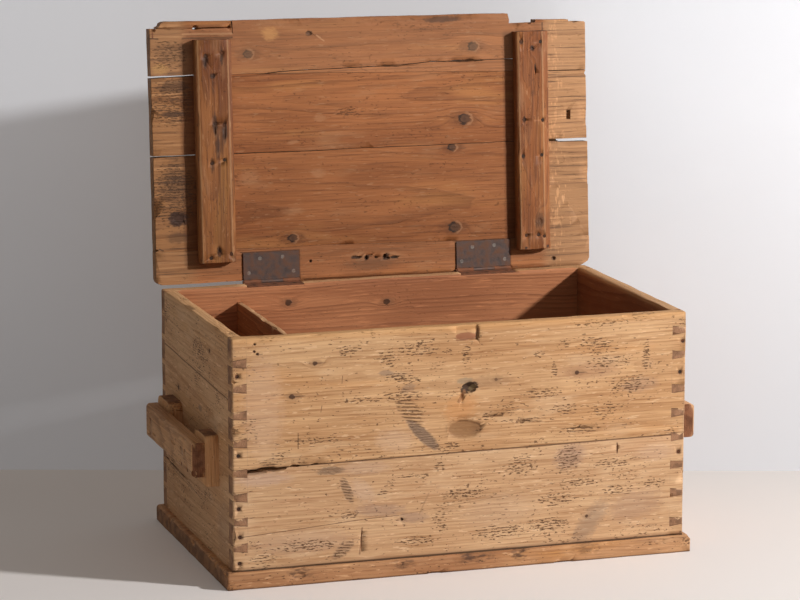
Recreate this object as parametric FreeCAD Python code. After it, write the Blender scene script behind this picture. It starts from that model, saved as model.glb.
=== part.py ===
import FreeCAD, Part
import os

# A dovetailed pine sea chest with its lid standing open.
# +X runs along the front to the right, +Y from front to back, +Z up.
# The origin is the middle of the underside of the bottom boards. Millimetres.
# "Along" is measured from the box's left outside face, "deep" from its front outside face.

Vector = FreeCAD.Vector
ALONG_X = Vector(1, 0, 0)
BACKWARDS = Vector(0, 1, 0)
FORWARDS = Vector(0, -1, 0)
UP = Vector(0, 0, 1)
DOWN = Vector(0, 0, -1)

# Box
LENGTH = 900.0
DEPTH = 535.0
TOP_Z = 472.0
BOARD = 28.0                # thickness of the walls and of the lid
JOINT_GAP = 0.4             # between boards edge to edge
WALL_EASE = 3.5             # rounding of the worn outer corners and top edges
INNER_EASE = 5.0            # bevel of the worn inner top edges
BACK_INNER_EASE = 2.0       # how far the back's bevel goes in, where the hinges lie
FRONT_JOINT_LEFT_Z = 225.0  # joint between the two front boards, at its left end
FRONT_JOINT_RIGHT_Z = 233.0
FRONT_JOINT_GAPE = ((0, 3.0), (30, 5.5), (75, 4.0), (110, 1.5), (190, 0.6))  # along, opening
BACK_JOINT_Z = 238.0
END_JOINT_FRONT_Z = 354.0   # joint between the two boards of an end, at its front
END_JOINT_BACK_Z = 367.0
END_FIT = 0.05              # between an end board and the walls it stands between

# The place of a lost lock in the front's top edge
LOCK_SPAN = (434.0, 477.0)
LOCK_HIGH = 29.0
LOCK_DEEP = 3.0

# Dovetail pins of the end boards, as heights of their middles above the floor
LEFT_PIN_ZS = (426.0, 379.0, 328.0, 276.0, 219.0, 173.0, 127.0, 77.0)
RIGHT_PIN_ZS = (437.0, 389.0, 323.0, 276.0, 228.0, 173.0, 118.0, 60.0)
PIN_WIDE = 17.0             # at the inside face of the end board
PIN_NARROW = 11.0           # at its outside face
PIN_FIT = 0.1

# Bottom boards
BOTTOM_THICK = 32.0
BOTTOM_OUT_END = 13.0       # how far they stand out at each end
BOTTOM_OUT_FRONT = 9.0      # and at the front and the back
BOTTOM_FRONT_WIDTH = 86.0
BOTTOM_BACK_WIDTH = 118.0
BOTTOM_EASE = 7.0           # rounding of their worn top edge
BOTTOM_CORNER = 3.5

# Till at the left end
TILL_OUT = 148.0            # along, to the partition
TILL_PARTITION = 11.0
TILL_DROP = 31.5            # how far the partition's top lies below the box's top
TILL_DEEP = 145.0
TILL_FLOOR = 10.0
TILL_FLOOR_UP = 12.0        # from the partition's lower edge to the floor's underside
TILL_EASE = 2.0
HOUSING = 6.0               # depth of the grooves that hold the till's boards
HOUSING_FIT = 0.15

# Handles: two blocks and a bar nailed across them
BLOCK_THICK = 27.0
BLOCK_WIDE = 93.0
BLOCK_HIGH = 97.5
BLOCK_DROP = 3.25           # from the bar's middle height down to the front block's
BACK_BLOCK_UP = 4.0         # the back block sits higher than the front one
BLOCK_EASE_TOP = 3.0        # along the outer edges
BLOCK_EASE_LOW = 6.0
FRONT_BLOCK_CORNERS = (5.0, 40.0)   # radii of the upper corners, front and back
BACK_BLOCK_CORNERS = (16.0, 16.0)
BAR_THICK = 26.0
BAR_HIGH = 66.0
BAR_LONG = 364.0
BAR_EASE_FRONT_END = 4.0
BAR_EASE_BACK_END = 13.0
BAR_EASE_OUTSIDE = 9.0
BAR_EASE_INSIDE = 2.0
LEFT_HANDLE_DEEP = 98.0     # deep, to the bar's front end
LEFT_HANDLE_Z = 226.0       # height of the bar's middle
RIGHT_HANDLE_DEEP = 76.0
RIGHT_HANDLE_Z = 239.0

# Lid, laid out in its own plane: u is along, v goes up from its hinge edge,
# w from its inside face outwards
LID_LEFT = -7.0
LID_RIGHT = 909.0
LID_RIGHT_LOW = 911.0       # the two boards by the hinges reach a little further
LID_FRONT = 519.0
LID_BROKEN = 496.0          # the front edge where a strip has broken away
LID_LEAN_DEG = 4.0          # past upright, as the lid stands open
LID_END_EASE = 1.5
LID_CORNER_LEFT = 13.0      # rounded corner at the hinge edge
HINGE_EDGE_LEFT = 0.4       # the hinge edge's v, left of the left hinge
HINGE_EDGE_HANG = 9.0       # right of it the edge is bevelled at 45 degrees, and hangs this far
HINGE_ARRIS = ((229, -0.8), (290, -1.4), (747, -2.0), (829, -3.0), (886, -5.0), (913, -5.0))
HINGE_CORNER = ((878, -14), (908, 3), (LID_RIGHT_LOW, 9))   # the rounded right corner
MORTISE_US = (865.0, 874.0)
MORTISE_VS = (297.0, 315.0)
MORTISE_DEEP = 12.0

# Joints between the lid's four boards, from the hinge edge, as (u, v) from left to right.
# They have shrunk open towards the ends, and a corner of the third joint has broken off
LOW_JOINT = ((LID_LEFT, 66.0), (400, 63.0), (617, 58.3), (LID_RIGHT_LOW, 55.4))
MIDDLE_JOINT_UNDER = ((LID_LEFT, 253.8), (110, 254.6), (450, 254.9), (800, 255.0), (844, 256.0),
                      (846, 250.4), (LID_RIGHT_LOW, 249.2))
MIDDLE_JOINT_OVER = ((LID_LEFT, 257.4), (110, 256.3), (450, 255.9), (800, 256.2), (844, 256.7),
                     (LID_RIGHT, 257.0))
MIDDLE_JOINT_POCKET = ((818, 251.6), (845, 256.9), 9.0)     # two corners (u, v), and its depth
HIGH_JOINT_UNDER = ((LID_LEFT, 410.0), (83, 412.2), (153, 412.9), (218, 412.5), (860, 396.7),
                    (LID_RIGHT, 396.6))
HIGH_JOINT_OVER = ((LID_LEFT, 414.4), (83, 415.1), (153, 413.4), (218, 413.1), (860, 397.3),
                   (LID_RIGHT, 397.2))
HIGH_JOINT_POCKET = ((828, 396.2), (897, 398.0), 6.0)
SPLIT_LINE = ((224, 412.4), (240, 413.9), (278, 416.2), (400, 417.8), (508, 419.6), (576, 424.0),
              (731, 424.3), (790, 421.5))
SPLIT_WIDE = 1.4

# The lid's front edge, from the end of the let-in strip to the broken right corner
FRONT_EDGE = ((450, 518), (740.5, 516.2), (743.5, 503), (742.5, LID_BROKEN), (898, LID_BROKEN),
              (906, 495.2), (LID_RIGHT, 492.5))

# Strips on the lid's front edge: one let in at the left, and what is left of one at the right
THROUGH = BOARD + 1.0       # depth of a cut that goes right through
NOTCH_LOW = 505.9
NOTCH_US = (26.0, 162.0)
NOTCH_LEFT = ((8, 507.0), (LID_LEFT, 507.0))        # the board's edge left of the notch
STRIP_RIGHT = 159.5
STRIP_LOW = 506.2
STRIP_LEFT_END = ((8, 507.4), (9, 510), (14, 512), (16, 517), (22, 520), (30, 520.8), (36, 520.6))
STRIP_GROOVE = ((86, 505.0), (157, 507.6), 8.0)     # worn along the strip's joint
STRIP_HOLES = ((155.5, 507.0, 3.2), (85.5, 508.0, 4.6))     # u, v and radius, as deep
STRIP_OPEN = ((80, 503.6), (91, 507.4), THROUGH)
SAW_CUT = ((160.5, 494.0), (162, 506.0), THROUGH)
REMNANT_US = (799.5, 872.5)
REMNANT_HIGH = (5.5, 4.2)   # at its left and right ends
REMNANT_FIT = 0.3

# Battens across the inside of the lid
BATTEN_THICK = 22.0
BATTEN_EASE = 1.5           # at their ends
LEFT_BATTEN = ((79.0, 153.0), (41.5, 484.0))        # its span along u, and along v
LEFT_BATTEN_BEVELS = ((5.0, 4.0), (8.0, 4.0))       # left and right: across the face, and deep
RIGHT_BATTEN = ((750.0, 819.5), (34.5, 479.5))
RIGHT_BATTEN_BEVELS = ((5.0, 4.0), (13.0, 5.0))

# Hinges
AXIS_ABOVE_TOP = 2.0        # hinge axis above the box's top
AXIS_BEHIND = 3.1           # and behind its back face
LID_FACE_FROM_AXIS = 2.0    # from the axis to the lid's inside face
LID_EDGE_FROM_AXIS = 2.8    # and to its hinge edge
KNUCKLE_R = 4.5
KNUCKLE_CLEAR = 0.4         # between the knuckles, and round the moving one
PIN_R = 2.4
PIN_RUN = 0.06              # running fit in the moving knuckle
PIN_PAST = 0.5              # how far the pin stands past the knuckles
PIN_HEAD_R = 3.4
PIN_HEAD = 1.5
LEAF_THICK = 2.5
LEAF_LONG = 116.0
LEAF_CORNER = 2.0
LEAF_SIDE_GAP = 0.5         # from a leaf's end to the wood
UPPER_LEAF_HIGH = 56.0
MIDDLE_KNUCKLE = 45.0
HINGE_US = (229.0, 679.0)

# Nails and screws
NAIL_R = 1.8
NAIL_HEAD_R = 3.6
NAIL_HEAD = 1.4
NAIL_SUNK = 0.6
SHANK_FIT = 0.05
HEAD_FIT = 0.1
LEFT_CORNER_NAILS = ((10, 402), (11, 253), (11, 152), (13, 98), (12, 48))    # along, height
RIGHT_CORNER_NAILS = ((893, 415), (888, 355), (888, 198))
CORNER_NAIL_LONG = 58.0
BOTTOM_NAIL_XS = (-370.0, -190.0, 0.0, 190.0, 370.0)
BOTTOM_NAIL_YS = (-190.0, -60.0, 70.0, 190.0)   # clear of the corner nails' points
BOTTOM_NAIL_LONG = 66.0
HANDLE_NAILS = ((49, 9), (80, 7), (33, -25), (76, -23), (320, 9), (324, -20))  # along bar, up
HANDLE_NAIL_LONG = BLOCK_THICK + BAR_THICK + 18.0
BATTEN_NAIL_LONG = 42.0
BATTEN_NAILS = ((98, 452), (132, 457), (116, 318), (134, 315), (107, 240), (133, 246),
                (100, 52), (117, 60), (142, 57.5),
                (761, 459), (802, 458), (765, 301), (805, 298), (762, 226), (802, 227),
                (766, 64), (792, 64), (805, 60.5))          # u, v
STRIP_NAIL_R = 1.1
STRIP_NAIL_LONG = 34.0
STRIP_NAILS = ((44.0, 519.2), (128.0, 518.4), (807.0, 500.4), (866.0, 499.6))  # u, v of the top
SCREW_R = 1.9
SCREW_HEAD_R = 3.9
SCREW_SLOT_WIDE = 1.0
SCREW_SLOT_DEEP = 0.8
UPPER_SCREWS = ((-23.5, 44), (23.5, 45), (-47, 15.5), (46, 15.5))    # from the leaf's middle, v
UPPER_SCREW_LONG = 22.0
LOWER_SCREWS = (-42, 0, 42)
LOWER_SCREW_IN = 11.0       # from the back wall's inside face
LOWER_SCREW_LONG = 24.0

# Derived
HALF_LENGTH = LENGTH / 2
HALF_DEPTH = DEPTH / 2
INSIDE_X = HALF_LENGTH - BOARD
INSIDE_Y = HALF_DEPTH - BOARD
AXIS_Y = HALF_DEPTH + AXIS_BEHIND
AXIS_Z = TOP_Z + AXIS_ABOVE_TOP
HALF_GAP = JOINT_GAP / 2
CUT_PAST = 1.0              # how far a cutting tool reaches past what it cuts


def x_of(along):
    return along - HALF_LENGTH


def y_of(deep):
    return deep - HALF_DEPTH


def block(x0, x1, y0, y1, z0, z1):
    return Part.makeBox(x1 - x0, y1 - y0, z1 - z0, Vector(x0, y0, z0))


def prism_y(points, y0, y1):
    """A solid with an outline of (x, z) points, from y0 to y1."""
    corners = [Vector(x, y0, z) for x, z in points]
    wire = Part.makePolygon(corners + corners[:1])
    return Part.Face(wire).extrude(Vector(0, y1 - y0, 0))


def prism_x(points, x0, x1):
    """A solid with an outline of (y, z) points, from x0 to x1."""
    corners = [Vector(x0, y, z) for y, z in points]
    wire = Part.makePolygon(corners + corners[:1])
    return Part.Face(wire).extrude(Vector(x1 - x0, 0, 0))


def rounded(shape, radius, chosen):
    """Rounds the edges whose middle point the function chosen accepts."""
    edges = []
    for edge in shape.Edges:
        middle = edge.valueAt((edge.FirstParameter + edge.LastParameter) / 2)
        if chosen(middle):
            edges.append(edge)
    return shape.makeFillet(radius, edges)


def near(a, b):
    return abs(a - b) < 0.01


def mirrored_x(shape):
    return shape.mirror(Vector(0, 0, 0), Vector(1, 0, 0))


def mirrored_y(shape):
    return shape.mirror(Vector(0, 0, 0), Vector(0, 1, 0))


def cut_all(shape, tools):
    for tool in tools:
        shape = shape.cut(tool)
    return shape


# ---------------------------------------------------------------- nails and screws

def nail(head, direction, length):
    """A round nail: its head's outer middle, the way it was driven and its length."""
    top = Part.makeCylinder(NAIL_HEAD_R, NAIL_HEAD, head, direction)
    shank = Part.makeCylinder(NAIL_R, length, head, direction)
    return top.fuse(shank).removeSplitter()


def nail_hole(head, direction, length):
    """The hole of such a nail, with the sunk place above its head."""
    mouth = head - direction * (NAIL_SUNK + CUT_PAST)
    top_deep = NAIL_SUNK + CUT_PAST + NAIL_HEAD + SHANK_FIT
    top = Part.makeCylinder(NAIL_HEAD_R + HEAD_FIT, top_deep, mouth, direction)
    shank = Part.makeCylinder(NAIL_R + SHANK_FIT, length + HEAD_FIT, head, direction)
    return top.fuse(shank)


def nails(heads, direction, length):
    return Part.makeCompound([nail(head, direction, length) for head in heads])


def nail_holes(heads, direction, length):
    return [nail_hole(head, direction, length) for head in heads]


def screw(head, direction, length):
    """A countersunk wood screw whose flat slotted head ends at the point head."""
    cone = Part.makeCone(SCREW_HEAD_R, SCREW_R, SCREW_HEAD_R - SCREW_R, head, direction)
    shank = Part.makeCylinder(SCREW_R, length, head, direction)
    half = SCREW_SLOT_WIDE / 2
    slot = block(-SCREW_HEAD_R, SCREW_HEAD_R, -half, half, -HEAD_FIT, SCREW_SLOT_DEEP)
    slot.Placement = FreeCAD.Placement(head, FreeCAD.Rotation(UP, direction))
    return cone.fuse(shank).removeSplitter().cut(slot)


def screw_hole(head, direction, length):
    mouth = head - direction * SHANK_FIT
    cone_deep = SCREW_HEAD_R - SCREW_R
    cone = Part.makeCone(SCREW_HEAD_R + HEAD_FIT, SCREW_R + HEAD_FIT, cone_deep, mouth, direction)
    shank = Part.makeCylinder(SCREW_R + SHANK_FIT, length + HEAD_FIT, head, direction)
    return cone.fuse(shank)


def screws(heads, direction, length):
    return Part.makeCompound([screw(head, direction, length) for head in heads])


def screw_holes(heads, direction, length):
    return [screw_hole(head, direction, length) for head in heads]


def corner_nails_at(y):
    return [Vector(x_of(along), y, z) for along, z in LEFT_CORNER_NAILS + RIGHT_CORNER_NAILS]


def corner_nail_holes():
    front = nail_holes(corner_nails_at(-HALF_DEPTH + NAIL_SUNK), BACKWARDS, CORNER_NAIL_LONG)
    back = nail_holes(corner_nails_at(HALF_DEPTH - NAIL_SUNK), FORWARDS, CORNER_NAIL_LONG)
    return front + back


def corner_nails():
    """Nails through the dovetails, with the same places at the back as at the front."""
    front = nails(corner_nails_at(-HALF_DEPTH + NAIL_SUNK), BACKWARDS, CORNER_NAIL_LONG)
    back = nails(corner_nails_at(HALF_DEPTH - NAIL_SUNK), FORWARDS, CORNER_NAIL_LONG)
    return {"front_corner_nails": front, "back_corner_nails": back}


def bottom_nails_at():
    """Nails driven up through the bottom boards into the middle of the four walls."""
    wall_y = HALF_DEPTH - BOARD / 2
    wall_x = HALF_LENGTH - BOARD / 2
    heads = []
    for y in (-wall_y, wall_y):
        heads += [Vector(x, y, NAIL_SUNK) for x in BOTTOM_NAIL_XS]
    for x in (-wall_x, wall_x):
        heads += [Vector(x, y, NAIL_SUNK) for y in BOTTOM_NAIL_YS]
    return heads


def bottom_nail_holes():
    return nail_holes(bottom_nails_at(), UP, BOTTOM_NAIL_LONG)


# ---------------------------------------------------------------- walls

def top_bevel():
    """What is worn off the inner top edges: a solid that widens upwards, less at the back."""
    outlines = []
    for share in (-0.2, 2.0):   # 0 is the bevel's lower edge and 1 the walls' top
        reach_x = INSIDE_X + share * INNER_EASE
        front = -INSIDE_Y - share * INNER_EASE
        back = INSIDE_Y + share * BACK_INNER_EASE
        z = TOP_Z + (share - 1.0) * INNER_EASE
        corners = [Vector(-reach_x, front, z), Vector(reach_x, front, z),
                   Vector(reach_x, back, z), Vector(-reach_x, back, z)]
        outlines.append(Part.makePolygon(corners + corners[:1]))
    return Part.makeLoft(outlines, True, True)


def wall_ring():
    """The four walls as one ring, with its worn outer corners and top edges rounded."""
    def at_corner(p):
        return near(abs(p.x), HALF_LENGTH) and near(abs(p.y), HALF_DEPTH)

    outer = block(-HALF_LENGTH, HALF_LENGTH, -HALF_DEPTH, HALF_DEPTH, BOTTOM_THICK, TOP_Z)
    outer = rounded(outer, WALL_EASE, at_corner)
    outer = rounded(outer, WALL_EASE, lambda p: near(p.z, TOP_Z))
    inner = block(-INSIDE_X, INSIDE_X, -INSIDE_Y, INSIDE_Y,
                  BOTTOM_THICK - CUT_PAST, TOP_Z + CUT_PAST)
    return outer.cut(inner).cut(top_bevel())


def pin(z, grow):
    """One dovetail pin of the left end at the front: its narrow side is outwards."""
    narrow = PIN_NARROW / 2 + grow
    wide = PIN_WIDE / 2 + grow
    left = -HALF_LENGTH - grow
    right = -INSIDE_X + grow
    points = [(left, z - narrow), (right, z - wide), (right, z + wide), (left, z + narrow)]
    return prism_y(points, -HALF_DEPTH - CUT_PAST, -INSIDE_Y + CUT_PAST / 2)


def pins(grow):
    """All pins of both ends, front and back, as one list of solids."""
    found = [pin(z, grow) for z in LEFT_PIN_ZS]
    found += [mirrored_x(pin(z, grow)) for z in RIGHT_PIN_ZS]
    return found + [mirrored_y(one) for one in found]


def front_joint_z(x):
    share = (x + HALF_LENGTH) / LENGTH
    return FRONT_JOINT_LEFT_Z + share * (FRONT_JOINT_RIGHT_Z - FRONT_JOINT_LEFT_Z)


def front_outline(upper):
    """The upper or lower front board, with the joint that gapes at its left end."""
    left = -HALF_LENGTH
    right = HALF_LENGTH
    joint_right = front_joint_z(right)
    if upper:
        return [(left, front_joint_z(left) + HALF_GAP), (right, joint_right + HALF_GAP),
                (right, TOP_Z), (left, TOP_Z)]
    edge = [(x_of(along), front_joint_z(x_of(along)) - gape) for along, gape in FRONT_JOINT_GAPE]
    return [(right, BOTTOM_THICK), (left, BOTTOM_THICK)] + edge + [(right, joint_right - HALF_GAP)]


def back_outline(upper):
    if upper:
        low, high = BACK_JOINT_Z + HALF_GAP, TOP_Z
    else:
        low, high = BOTTOM_THICK, BACK_JOINT_Z - HALF_GAP
    return [(-HALF_LENGTH, low), (HALF_LENGTH, low), (HALF_LENGTH, high), (-HALF_LENGTH, high)]


def lock_recess():
    """The shallow place in the front board's top edge where a lock has been."""
    return block(x_of(LOCK_SPAN[0]), x_of(LOCK_SPAN[1]), -HALF_DEPTH - CUT_PAST,
                 -HALF_DEPTH + LOCK_DEEP, TOP_Z - LOCK_HIGH, TOP_Z + CUT_PAST)


def till_floor_housing():
    """The groove of the till's floor, in the left end and the front and back walls."""
    reach = INSIDE_Y + HOUSING + HOUSING_FIT
    low = TOP_Z - TILL_DROP - TILL_DEEP + TILL_FLOOR_UP
    return block(-INSIDE_X - HOUSING - HOUSING_FIT, x_of(TILL_OUT) + HOUSING_FIT, -reach, reach,
                 low - HOUSING_FIT, low + TILL_FLOOR + HOUSING_FIT)


def till_partition_housing():
    """The grooves of the partition, which stop at its top and don't reach the walls' top."""
    reach = INSIDE_Y + HOUSING + HOUSING_FIT
    high = TOP_Z - TILL_DROP
    return block(x_of(TILL_OUT) - HOUSING_FIT, x_of(TILL_OUT + TILL_PARTITION) + HOUSING_FIT,
                 -reach, reach, high - TILL_DEEP - HOUSING_FIT, high + HOUSING_FIT)


def front_and_back_boards(ring):
    """The front and the back are two boards each, with sockets for the ends' pins."""
    holes = pins(PIN_FIT) + [till_floor_housing(), till_partition_housing()]
    holes += corner_nail_holes() + bottom_nail_holes()
    boards = {}
    for upper, name in ((True, "upper"), (False, "lower")):
        front = prism_y(front_outline(upper), -HALF_DEPTH, -INSIDE_Y)
        back = prism_y(back_outline(upper), INSIDE_Y, HALF_DEPTH)
        boards["front_board_" + name] = cut_all(front.common(ring), holes)
        boards["back_board_" + name] = cut_all(back.common(ring), holes)
    boards["front_board_upper"] = boards["front_board_upper"].cut(lock_recess())
    hinge_places = lower_leaf_recesses() + lower_screw_holes()
    boards["back_board_upper"] = cut_all(boards["back_board_upper"], hinge_places)
    return boards


def end_outline(upper):
    """An end board between the front and back walls, as (y, z) points."""
    front = -INSIDE_Y + END_FIT
    back = INSIDE_Y - END_FIT
    if upper:
        return [(front, END_JOINT_FRONT_Z + HALF_GAP), (back, END_JOINT_BACK_Z + HALF_GAP),
                (back, TOP_Z), (front, TOP_Z)]
    return [(front, BOTTOM_THICK), (back, BOTTOM_THICK),
            (back, END_JOINT_BACK_Z - HALF_GAP), (front, END_JOINT_FRONT_Z - HALF_GAP)]


def end_board(side, upper, ring):
    """One board of an end, with the pins that grow out of it at the front and the back."""
    shape = prism_x(end_outline(upper), -HALF_LENGTH, -INSIDE_X)
    if side > 0:
        shape = mirrored_x(shape)
    for one in pins(0.0):
        middle = one.CenterOfMass
        on_this_end = middle.x * side > 0
        on_this_board = (middle.z > END_JOINT_FRONT_Z) == upper
        if on_this_end and on_this_board:
            shape = shape.fuse(one)
    shape = shape.removeSplitter().common(ring)
    holes = corner_nail_holes() + bottom_nail_holes() + handle_nail_holes(side)
    return cut_all(shape, holes + [till_floor_housing()])


def end_boards(ring):
    boards = {}
    for side, label in ((-1, "left"), (1, "right")):
        boards[label + "_end_board_upper"] = end_board(side, True, ring)
        boards[label + "_end_board_lower"] = end_board(side, False, ring)
    return boards


# ---------------------------------------------------------------- bottom and till

def bottom_boards():
    """Three boards along the chest, standing out all round as a worn plinth."""
    half_x = HALF_LENGTH + BOTTOM_OUT_END
    half_y = HALF_DEPTH + BOTTOM_OUT_FRONT
    whole = block(-half_x, half_x, -half_y, half_y, 0, BOTTOM_THICK)
    whole = rounded(whole, BOTTOM_CORNER,
                    lambda p: near(abs(p.x), half_x) and near(abs(p.y), half_y))
    whole = rounded(whole, BOTTOM_EASE, lambda p: near(p.z, BOTTOM_THICK))
    first = -half_y + BOTTOM_FRONT_WIDTH
    second = half_y - BOTTOM_BACK_WIDTH
    spans = {
        "bottom_board_front": (-half_y - CUT_PAST, first - HALF_GAP),
        "bottom_board_middle": (first + HALF_GAP, second - HALF_GAP),
        "bottom_board_back": (second + HALF_GAP, half_y + CUT_PAST),
    }
    boards = {}
    for name, (y0, y1) in spans.items():
        span = block(-half_x - CUT_PAST, half_x + CUT_PAST, y0, y1,
                     -CUT_PAST, BOTTOM_THICK + CUT_PAST)
        boards[name] = cut_all(whole.common(span), bottom_nail_holes())
    return boards


def till():
    """A partition and a floor let into the walls at the left end."""
    top = TOP_Z - TILL_DROP
    low = top - TILL_DEEP
    reach = INSIDE_Y + HOUSING
    partition = block(x_of(TILL_OUT), x_of(TILL_OUT + TILL_PARTITION), -reach, reach, low, top)
    partition = rounded(partition, TILL_EASE, lambda p: near(p.z, top) and near(p.y, 0))
    floor_low = low + TILL_FLOOR_UP
    floor = block(-INSIDE_X - HOUSING, x_of(TILL_OUT), -reach, reach,
                  floor_low, floor_low + TILL_FLOOR)
    return {"till_partition": partition, "till_bottom": floor}


# ---------------------------------------------------------------- handles

def handle_bar(y0, middle_z):
    """The bar of the left end's handle, whose edges are worn round."""
    y1 = y0 + BAR_LONG
    inner = -HALF_LENGTH - BLOCK_THICK
    outer = inner - BAR_THICK
    half = BAR_HIGH / 2

    def along_edge(p):
        return near(abs(p.z - middle_z), half) and y0 < p.y < y1

    whole = block(outer, inner, y0, y1, middle_z - half, middle_z + half)
    plan = rounded(whole, BAR_EASE_BACK_END, lambda p: near(p.x, outer) and near(p.y, y1))
    plan = rounded(plan, BAR_EASE_FRONT_END, lambda p: near(p.x, outer) and near(p.y, y0))
    section = rounded(whole, BAR_EASE_OUTSIDE, lambda p: near(p.x, outer) and along_edge(p))
    section = rounded(section, BAR_EASE_INSIDE, lambda p: near(p.x, inner) and along_edge(p))
    return plan.common(section)


def handle_block(y0, low, corners):
    """One block of the left end's handle, between the bar and the wall."""
    outer = -HALF_LENGTH - BLOCK_THICK
    high = low + BLOCK_HIGH
    whole = block(outer, -HALF_LENGTH, y0, y0 + BLOCK_WIDE, low, high)
    side_view = rounded(whole, corners[0], lambda p: near(p.y, y0) and near(p.z, high))
    side_view = rounded(side_view, corners[1],
                        lambda p: near(p.y, y0 + BLOCK_WIDE) and near(p.z, high))
    section = rounded(whole, BLOCK_EASE_TOP, lambda p: near(p.x, outer) and near(p.z, high))
    section = rounded(section, BLOCK_EASE_LOW, lambda p: near(p.x, outer) and near(p.z, low))
    return side_view.common(section)


def handle_place(side):
    """Y of the bar's front end and height of its middle, for side -1 (left) or 1 (right)."""
    if side < 0:
        return y_of(LEFT_HANDLE_DEEP), LEFT_HANDLE_Z
    return y_of(RIGHT_HANDLE_DEEP), RIGHT_HANDLE_Z


def handle_nails_at(side):
    """Four nails at a handle's front block and two at its back one."""
    y0, middle_z = handle_place(side)
    x = side * (HALF_LENGTH + BLOCK_THICK + BAR_THICK - NAIL_SUNK)
    return [Vector(x, y0 + along, middle_z + up) for along, up in HANDLE_NAILS]


def handle_nail_holes(side):
    return nail_holes(handle_nails_at(side), ALONG_X * -side, HANDLE_NAIL_LONG)


def handle(side, label):
    """Bar, blocks and nails of one end's handle."""
    y0, middle_z = handle_place(side)
    low = middle_z - BLOCK_DROP - BLOCK_HIGH / 2
    pieces = {
        "bar": handle_bar(y0, middle_z),
        "block_front": handle_block(y0, low, FRONT_BLOCK_CORNERS),
        "block_back": handle_block(y0 + BAR_LONG - BLOCK_WIDE, low + BACK_BLOCK_UP,
                                   BACK_BLOCK_CORNERS),
    }
    nodes = {}
    for name, piece in pieces.items():
        if side > 0:
            piece = mirrored_x(piece)
        nodes[label + "_handle_" + name] = cut_all(piece, handle_nail_holes(side))
    nodes[label + "_handle_nails"] = nails(handle_nails_at(side), ALONG_X * -side,
                                           HANDLE_NAIL_LONG)
    return nodes


# ---------------------------------------------------------------- lid, in its own plane

def placed(shape):
    """From the lid's own plane (x, w, v) to where it stands open, turned about the hinges."""
    turn = FreeCAD.Rotation(ALONG_X, -LID_LEAN_DEG)
    offset = turn.multVec(Vector(0, LID_FACE_FROM_AXIS, LID_EDGE_FROM_AXIS))
    place = FreeCAD.Placement(Vector(0, AXIS_Y, AXIS_Z) + offset, turn)
    moved = shape.copy()
    moved.Placement = place.multiply(moved.Placement)
    return moved


def lid_plate(points):
    """A board of the lid with an outline of (u, v) points."""
    return prism_y([(x_of(u), v) for u, v in points], 0.0, BOARD)


def eased_lid_ends(board, left, right):
    """Rounds a lid board's two ends on both faces."""
    def at_end(p):
        return near(p.x, x_of(left)) or near(p.x, x_of(right))

    return rounded(board, LID_END_EASE, lambda p: at_end(p) and (near(p.y, 0) or near(p.y, BOARD)))


def pocket(place):
    """A cutting tool over two corners (u, v), sunk into the lid's inside face."""
    (u0, v0), (u1, v1), deep = place
    return block(x_of(u0), x_of(u1), -CUT_PAST, deep, v0, v1)


def hinge_edge_bevel():
    """What is planed off the hinge edge's inside arris, at 45 degrees."""
    reach = 1.5 * HINGE_EDGE_HANG
    sections = []
    for u, v in HINGE_ARRIS:
        corners = [Vector(x_of(u), -CUT_PAST, v + CUT_PAST), Vector(x_of(u), reach, v - reach),
                   Vector(x_of(u), -CUT_PAST, v - reach)]
        sections.append(Part.makePolygon(corners + corners[:1]))
    return Part.makeLoft(sections, True, True)


def hinge_notch(u):
    """The place in the hinge edge for a hinge's knuckles and its pin, with the pin's head."""
    half = LEAF_LONG / 2
    clear = KNUCKLE_R + 2 * KNUCKLE_CLEAR
    return block(x_of(u) - half - PIN_PAST - PIN_HEAD - 3 * KNUCKLE_CLEAR,
                 x_of(u) + half + 2 * LEAF_SIDE_GAP, -CUT_PAST, clear - LID_FACE_FROM_AXIS,
                 HINGE_CORNER[0][1] - CUT_PAST, clear - LID_EDGE_FROM_AXIS)


def lid_board_back():
    """The narrow board that carries the hinge leaves. Its joint is the next board's too."""
    step_u = HINGE_ARRIS[0][0]
    low = [(LID_LEFT, HINGE_EDGE_LEFT), (step_u, HINGE_EDGE_LEFT)]
    low += [(u, v - HINGE_EDGE_HANG) for u, v in HINGE_ARRIS[:4]]
    high = [(u, v - HALF_GAP) for u, v in reversed(LOW_JOINT)]
    board = lid_plate(low + list(HINGE_CORNER) + high)
    board = rounded(board, LID_CORNER_LEFT,
                    lambda p: near(p.x, x_of(LID_LEFT)) and near(p.z, HINGE_EDGE_LEFT))
    notches = [hinge_notch(u) for u in HINGE_US]
    return cut_all(board, [hinge_edge_bevel()] + notches + upper_screw_holes()
                   + batten_nail_holes())


def lid_board_lower_middle():
    """The widest board. Its upper edge has shrunk away from the next one at both ends."""
    low = [(u, v + HALF_GAP) for u, v in LOW_JOINT]
    board = eased_lid_ends(lid_plate(low + list(reversed(MIDDLE_JOINT_UNDER))),
                           LID_LEFT, LID_RIGHT_LOW)
    return cut_all(board, [pocket(MIDDLE_JOINT_POCKET)] + batten_nail_holes())


def lid_board_upper_middle():
    """The board with a small mortise near its right end."""
    board = lid_plate(MIDDLE_JOINT_OVER + tuple(reversed(HIGH_JOINT_UNDER)))
    board = eased_lid_ends(board, LID_LEFT, LID_RIGHT)
    mortise = block(x_of(MORTISE_US[0]), x_of(MORTISE_US[1]), -CUT_PAST, MORTISE_DEEP,
                    MORTISE_VS[0], MORTISE_VS[1])
    pockets = [pocket(MIDDLE_JOINT_POCKET), pocket(HIGH_JOINT_POCKET)]
    return cut_all(board, [mortise] + pockets + batten_nail_holes())


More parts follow.
